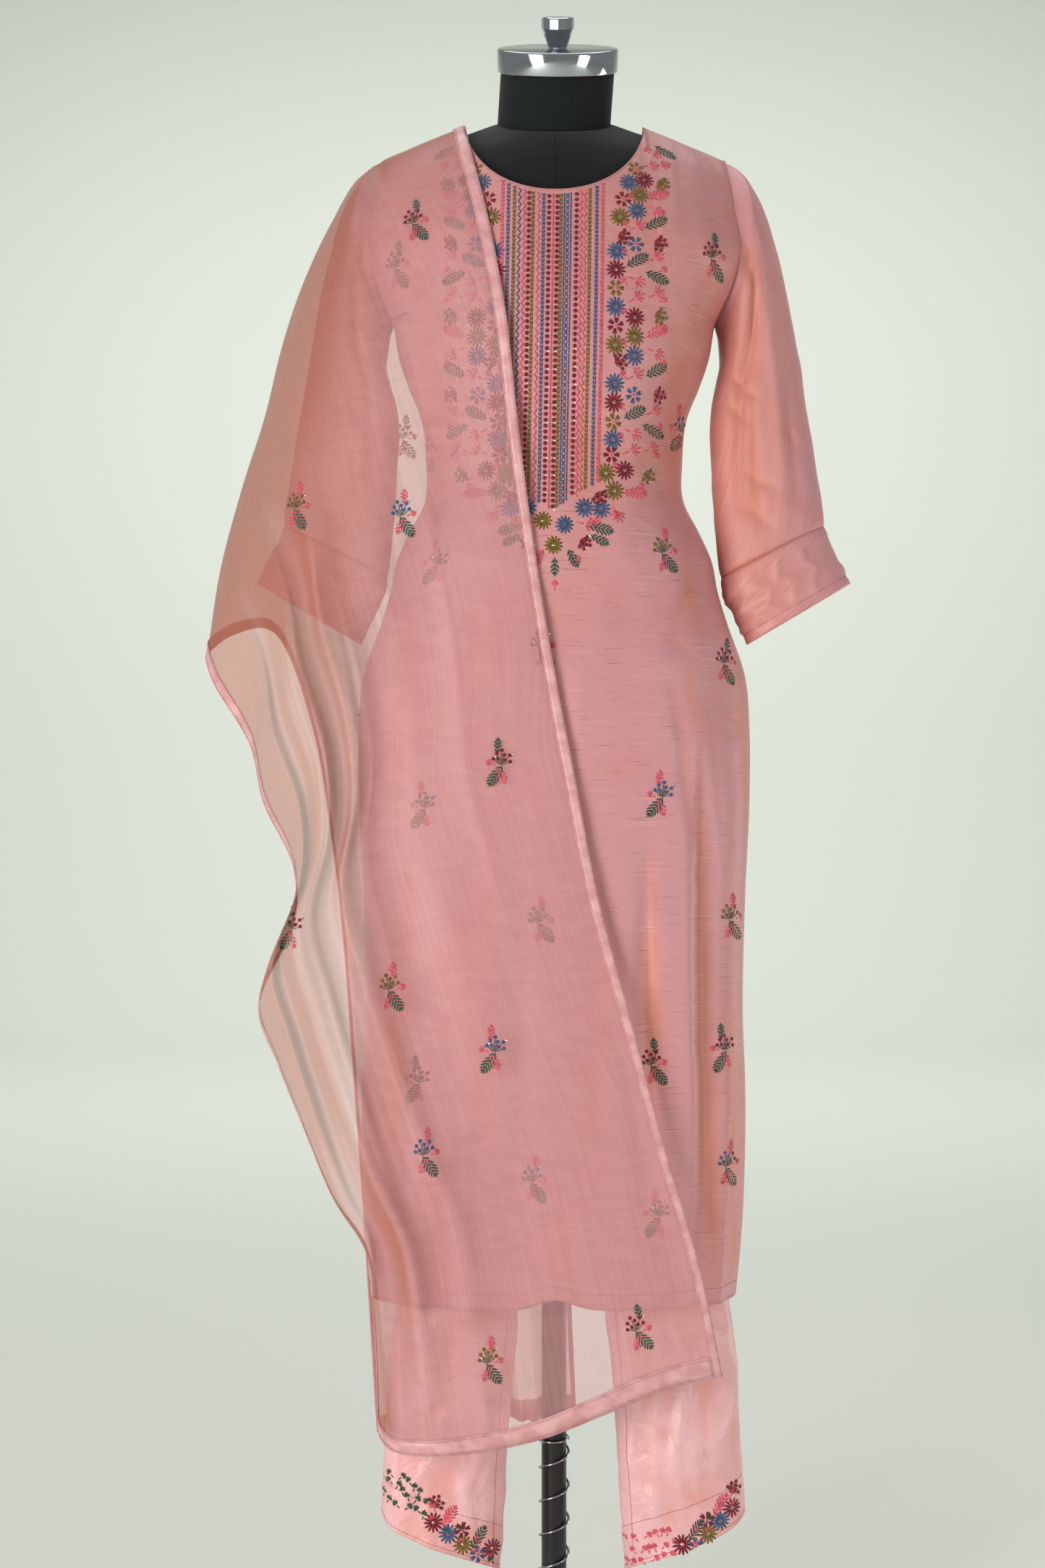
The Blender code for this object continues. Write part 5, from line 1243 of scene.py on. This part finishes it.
def yokeMarks():
    marks, down = [], -math.pi / 2
    for x, thread, stitch in yoke["placket"]:
        top = neckZ - kameez["neckDepth"][0] * math.sqrt(1 - (x / neckX) ** 2) - yoke["gap"]
        addColumn(marks, x, top, yoke["bottom"][0] + yoke["bottom"][1] * abs(x), thread, stitch)
    for hand in (1, -1):
        for k in range(yoke["steps"]):
            for shift, across, skip, motifs in yoke["lanes"]:
                place = (k + shift) / yoke["steps"]
                x, z, half = bandAt(place)
                if half < 0.0135 and across < 0:
                    continue
                ahead = bandAt(min(place + 0.02, 1.0)) - bandAt(max(place - 0.02, 0.0))
                out = math.atan2(ahead[1], ahead[0]) + math.pi / 2
                angle = out + (0.55 if k % 2 else -0.35)
                px, pz = beside(x, z, out, half * across)
                if hand < 0:
                    px, angle = -px, math.pi - angle
                addMotif(marks, motifs[k * skip % len(motifs)], px, pz, angle, k * 0.7)
        for k in range(26):
            x, z, half = bandAt((k + 0.95) / 27)
            reach, lean = (half * 1.35, 1.1) if k % 2 else (half * -0.35, -0.6)
            addSprig(marks, hand * (x + reach), z, math.pi / 2 - hand * lean, "pink", 0.0078)
        addBerries(marks, hand * 0.024, 1.168, down + hand * 0.9, "crimson")
        addLeaf(marks, hand * 0.012, 1.158, down + hand * 0.5, 0.018, "green" if hand > 0 else "pink")
        addSprig(marks, hand * 0.020, 1.150, down + hand * 0.9, "pink", 0.008)
        addWheel(marks, hand * 0.0105 - 0.002, 1.184 - hand * 0.002, 0.0094, "blue" if hand > 0 else "olive")
        addLeaf(marks, hand * 0.034, 1.172, down + hand * 1.1, 0.018, "green")
        addSprig(marks, hand * 0.036, 1.188, down + hand * 1.2, "pink", 0.012)
    addWheel(marks, -0.0020, 1.162, 0.0094, "olive", 0.3)
    addLeaf(marks, -0.0010, 1.150, down, 0.016, "green")
    addSprig(marks, -0.0010, 1.122, math.pi / 2, "pink", 0.008)
    return marks


def sprayMarks(places):
    # one spray: berries over a green leaf and a pink one
    marks = []
    for x, z, thread, lean in places:
        hand = 1 if lean > 0 else -1
        up = math.pi / 2 + lean
        addBerries(marks, x, z + 0.001, up, thread, 1.35)
        upper = "pink" if thread != "crimson" else "green"
        addLeaf(marks, x + hand * 0.003, z + 0.012, up - hand * 0.15, 0.014, upper)
        addLeaf(marks, x - hand * 0.002, z + 0.001, up + math.pi + hand * 0.40, 0.022, "green")
        addLeaf(marks, x + hand * 0.003, z, up + math.pi - hand * 0.65, 0.016, "pink")
        addSprig(marks, x + hand * 0.009, z + 0.003, up - hand * 1.4, "pink", 0.008)
    return marks


def hemMarks(hand):
    # border of one trouser leg: a run of flowers on one half, small sprigs on the other
    marks = []
    if hand > 0:
        start, end, corner, step = (0.129, 0.176), (0.178, 0.222), (0.072, 0.161), (0.0085, 0.0026)
    else:
        start, end, corner, step = (-0.066, 0.168), (-0.124, 0.212), (-0.170, 0.230), (0.0078, -0.0034)
    kinds = ("wheelCrimson", "daisyBlue", "leafGreen", "wheelOlive", "daisyCrimson", "wheelBlue", "leafPink",
             "wheelCrimson", "berriesCrimson")
    slope = math.atan2(end[1] - start[1], end[0] - start[0])
    for k, kind in enumerate(kinds):
        part = k / (len(kinds) - 1)
        offset = 0.0055 * (-1) ** k
        x = start[0] + (end[0] - start[0]) * part - math.sin(slope) * offset * hand
        z = start[1] + (end[1] - start[1]) * part + abs(math.cos(slope)) * offset
        addMotif(marks, kind, x, z, math.pi / 2 + (0.7 if k % 2 else -0.6), k * 0.6)
        thread = "green" if k % 3 == 0 else "pink"
        addSprig(marks, x, z + (0.014 if k % 2 else -0.012), math.pi / 2 - 0.5 * hand, thread, 0.008)
    thread = "pink" if hand > 0 else "green"
    for k in range(6):
        for row, up in enumerate((-0.005, 0.007, 0.019)):
            shift = 0.0032 * math.sin(5.1 * k + 2.3 * row)
            lean = math.pi / 2 + 0.9 * math.sin(3.7 * k + 1.9 * row)
            x = corner[0] + step[0] * (k + row % 2 * 0.5) + shift
            addSprig(marks, x, corner[1] + step[1] * k + up + shift * 0.5, lean, thread, 0.0078)
    return marks


def castMarks(marks, tree, side):
    # lays flat marks on the cloth: centre, direction and normal of each
    rows = []
    for shape, x, z, angle, length, width, height, thread in marks:
        hit, normal = tree.ray_cast(Vector((x, side, z)), Vector((0, -side, 0)))[:2]
        if hit is None:
            continue
        normal = np.array(normal) * (1 if normal.y * side > 0 else -1)
        if normal[1] * side < 0.2:
            continue
        dx, dz = math.cos(angle), math.sin(angle)
        along = np.array([dx, -(normal[0] * dx + normal[2] * dz) / normal[1], dz])
        along /= np.linalg.norm(along)
        rows.append((shape, np.array(hit) + normal * 0.0002, along, normal, (length, width, height), thread))
    return rows


def lineAt(line, along, place):
    return np.array([np.interp(place, along, line[:, axis]) for axis in range(3)])


def seamRows(points, normals, step, thread, width):
    # running stitches along a line of points
    along = np.append(0, np.cumsum(np.linalg.norm(np.diff(points, axis=0), axis=1)))
    rows = []
    for place in np.arange(step / 2, along[-1] - step / 2, step):
        start, end = (lineAt(points, along, at) for at in (place - step * 0.34, place + step * 0.34))
        normal = lineAt(normals, along, place)
        run = end - start
        length = np.linalg.norm(run)
        run /= length
        normal -= run * normal.dot(run)
        normal /= np.linalg.norm(normal)
        middle = (start + end) / 2 + normal * 0.0001
        rows.append(("seam", middle, run, normal, (length / 2, width, 0.00016), thread))
    return rows


def stampShape(shape):
    work = bmesh.new()
    if shape == "sequin":
        bmesh.ops.create_cone(work, cap_ends=False, segments=8, radius1=1.0, radius2=0.38, depth=0.3)
    elif shape == "seam":
        bmesh.ops.create_cube(work, size=2.0)
    else:
        bmesh.ops.create_icosphere(work, subdivisions=1, radius=1.0)
    bmesh.ops.triangulate(work, faces=work.faces[:])
    points = np.array([vert.co[:] for vert in work.verts])
    corners = np.array([[vert.index for vert in face.verts] for face in work.faces])
    work.free()
    return points, corners


def sewOn(name, rows, seed):
    # one mesh of all the stamps, with the thread colour on its points
    shades = np.random.default_rng(seed)
    points, corners, colors, metal, start = [], [], [], [], 0
    for shape in ("stitch", "seam", "sequin"):
        chosen = [row for row in rows if row[0] == shape]
        if not chosen:
            continue
        base, faces = stampShape(shape)
        centres, along, normals, sizes = (np.array([row[k] for row in chosen]) for k in (1, 2, 3, 4))
        axes = np.stack([along, np.cross(normals, along), normals], axis=1)
        placed = centres[:, None] + np.einsum("npk,nkc->npc", base[None] * sizes[:, None], axes)
        tints = np.array([threads[row[5]] for row in chosen]) * shades.uniform(0.78, 1.18, (len(chosen), 1))
        points.append(placed.reshape(-1, 3))
        corners.append((faces[None] + (start + len(base) * np.arange(len(chosen)))[:, None, None]).reshape(-1, 3))
        colors.append(np.repeat(tints, len(base), axis=0))
        metal.append(np.full(len(chosen) * len(faces), int(shape == "sequin")))
        start += len(base) * len(chosen)
    mesh = bpy.data.meshes.new(name)
    mesh.from_pydata(np.concatenate(points).tolist(), [], np.concatenate(corners).tolist())
    tint = mesh.color_attributes.new("thread", "FLOAT_COLOR", "POINT")
    tint.data.foreach_set("color", np.append(np.concatenate(colors), np.ones((start, 1)), axis=1).ravel())
    addPiece(name, mesh, threadSilk)
    mesh.materials.append(sequinFoil)
    mesh.polygons.foreach_set("material_index", np.concatenate(metal))
    mesh.shade_smooth()
    print(name, len(mesh.polygons), "triangles")


def makeThread():
    # twisted silk thread: its colour is on the points, with a fine shade along it
    material, tree, shader = newMaterial("threadSilk", (0.6, 0.3, 0.3), 0.48)
    tint = pointValue(tree, "thread", "Color")
    twist = noiseNode(tree, objectPlace(tree), (1600, 1600, 1600), 2.0, 0.6)
    shade = mixColors(tree, 0.8, tint, tint, "MULTIPLY")
    setInputs(tree, shader, {
        "Base Color": mixColors(tree, rangeNode(tree, twist, 0.3, 0.6, 0.45, 0.0), tint, shade),
        "Normal": bumpNode(tree, twist, 0.5, 0.0003),
        "Sheen Weight": 0.08, "Sheen Roughness": 0.4, "Specular IOR Level": 0.35,
    })
    return material


threadSilk = makeThread()
sequinFoil = makeMetal("sequinFoil", (0.62, 0.61, 0.60), 0.18, 1.0, 0.15)


def sewMotifs():
    frontTree, backTree = searchTree(kameezPieces[:1]), searchTree(kameezPieces[1:2])
    sheetTree, legTree = searchTree([dupattaSheet]), searchTree([trouserPieces[0], trouserPieces[2]])
    sewOn("yokeEmbroidery", castMarks(yokeMarks(), frontTree, -1), 3)
    sewOn("kameezSprays", castMarks(sprayMarks(sprays["kameezFront"]), frontTree, -1), 5)
    sewOn("kameezBackSprays", castMarks(sprayMarks(sprays["kameezBack"]), backTree, 1), 7)
    sprayed = castMarks(sprayMarks(sprays["dupattaFront"]), sheetTree, -1)
    sewOn("dupattaSprays", sprayed + castMarks(sprayMarks(sprays["dupattaBack"]), sheetTree, 1), 9)
    for word, hand in (("Left", 1), ("Right", -1)):
        sewOn("trouserHem" + word, castMarks(hemMarks(hand), legTree, -1), 11 + hand)


def clothSeams(name, lines, step, width):
    # stitches along some rows and columns of a laid cloth
    lattice, normals = laid[name]
    rows = []
    for line in lines:
        rows += seamRows(lattice[line], normals[line], step, "seam", width)
    return rows


def sewSeams():
    rows = clothSeams("cuffLeft", [-4], 0.0030, 0.00022) + clothSeams("cuffRight", [-4], 0.0030, 0.00022)
    middle, reach = sum(kameez["columns"]), kameez["columns"][0] - 1
    for name in ("kameezFront", "kameezBack"):
        heights = laid[name][0][..., 2]
        hem = int(np.searchsorted(heights[:, 70], kameez["hem"] + 0.014))
        slit = int(np.searchsorted(heights[:, 0], kameez["slitTop"]))
        rows += clothSeams(name, (np.s_[hem, 3:-3], np.s_[:slit, 3], np.s_[:slit, -4]), 0.0032, 0.00022)
        rows += clothSeams(name, [np.s_[-5, middle - reach:middle + reach]], 0.0030, 0.00022)
    sewOn("kameezSewing", rows, 21)
    rows = []
    for name in ("trouserFrontLeft", "trouserFrontRight", "trouserBackLeft", "trouserBackRight"):
        rows += clothSeams(name, (np.s_[:80, -9], np.s_[2, 2:-2], np.s_[12, 2:-2]), 0.0030, 0.0003)
    sewOn("trouserSewing", rows, 23)
    rows = []
    for name in ("dupattaBindingInner", "dupattaBindingOuter", "dupattaEndFront", "dupattaEndBack"):
        strip, normals = laid[name]
        if "End" in name:
            strip, normals = strip.transpose(1, 0, 2), normals.transpose(1, 0, 2)
        for first, second in ((0, 1), (-1, -2)):
            line = strip[:, first] * 0.75 + strip[:, second] * 0.25
            lift = normals[:, first] * (dupatta["binding"] / 2 + 0.0001)
            rows += seamRows(line + lift, normals[:, first], 0.0032, "rose", 0.0003)
    sewOn("dupattaSewing", rows, 25)


sewMotifs()
sewSeams()
print("embroidery and sewing made")


# floor, backdrop, light and camera

def makeStage():
    work = bmesh.new()
    bmesh.ops.create_grid(work, x_segments=2, y_segments=40, size=1.0)
    radius, wallY = 1.2, 6.6  # behind the camera of a view from the back
    for index, vert in enumerate(work.verts):
        row = index // 3
        vert.co.x *= 11
        if row < 20:
            vert.co.y, vert.co.z = -7 + (wallY - radius + 7) * row / 19, 0
        elif row < 30:
            angle = math.pi / 2 * (row - 19) / 10
            vert.co.y, vert.co.z = wallY - radius + radius * math.sin(angle), radius - radius * math.cos(angle)
        else:
            vert.co.y, vert.co.z = wallY, radius + 6.5 * (row - 29) / 11
    bmesh.ops.recalc_face_normals(work, faces=work.faces[:])
    mesh = finishedMesh("backdrop", work)
    mesh.shade_smooth()
    mesh.materials.append(newMaterial("backdropPaint", (0.84, 0.87, 0.80), 0.9)[0])
    obj = bpy.data.objects.new("backdrop", mesh)
    scene.collection.objects.link(obj)


def addLight(name, place, aim, size, power, color):
    data = bpy.data.lights.new(name, "AREA")
    data.shape = "RECTANGLE"
    data.size, data.size_y = size
    data.energy = power
    data.color = color
    obj = bpy.data.objects.new(name, data)
    obj.location = place
    obj.rotation_euler = (Vector(aim) - Vector(place)).to_track_quat("-Z", "Y").to_euler()
    scene.collection.objects.link(obj)


def makeLights():
    addLight("window", (-2.2, -2.4, 0.95), (0, 0, 0.5), (1.4, 2.2), 77, (1.0, 0.99, 0.97))
    addLight("fill", (2.5, -2.0, 0.7), (0, 0, 0.3), (1.2, 1.4), 18, (1.0, 0.98, 0.95))
    addLight("ceiling", (0.0, 1.0, 4.2), (0, 1.7, 0), (3.0, 2.4), 46, (1.0, 1.0, 0.98))
    addLight("wallWash", (0.0, 3.6, 3.5), (0, 6.5, 0.4), (6.0, 1.2), 78, (0.98, 1.0, 0.97))
    addLight("side", (1.8, 0.6, 0.6), (0.2, 0, 0.5), (0.5, 1.4), 7, (1.0, 0.96, 0.92))
    world = bpy.data.worlds.new("studio")
    world.use_nodes = True
    world.node_tree.nodes["Background"].inputs[0].default_value = (0.86, 0.88, 0.88, 1)
    world.node_tree.nodes["Background"].inputs[1].default_value = 0.34
    scene.world = world
    scene.view_settings.view_transform = "Standard"


def makeCamera():
    data = bpy.data.cameras.new("camera")
    data.lens = 50
    data.sensor_width = 36
    data.sensor_fit = "AUTO"
    obj = bpy.data.objects.new("camera", data)
    obj.location = (-0.0322, -2.23, 0.93)
    obj.rotation_euler = (math.radians(90), 0, 0)
    scene.collection.objects.link(obj)
    scene.camera = obj


makeStage()
makeLights()
makeCamera()


print("pieces ready")
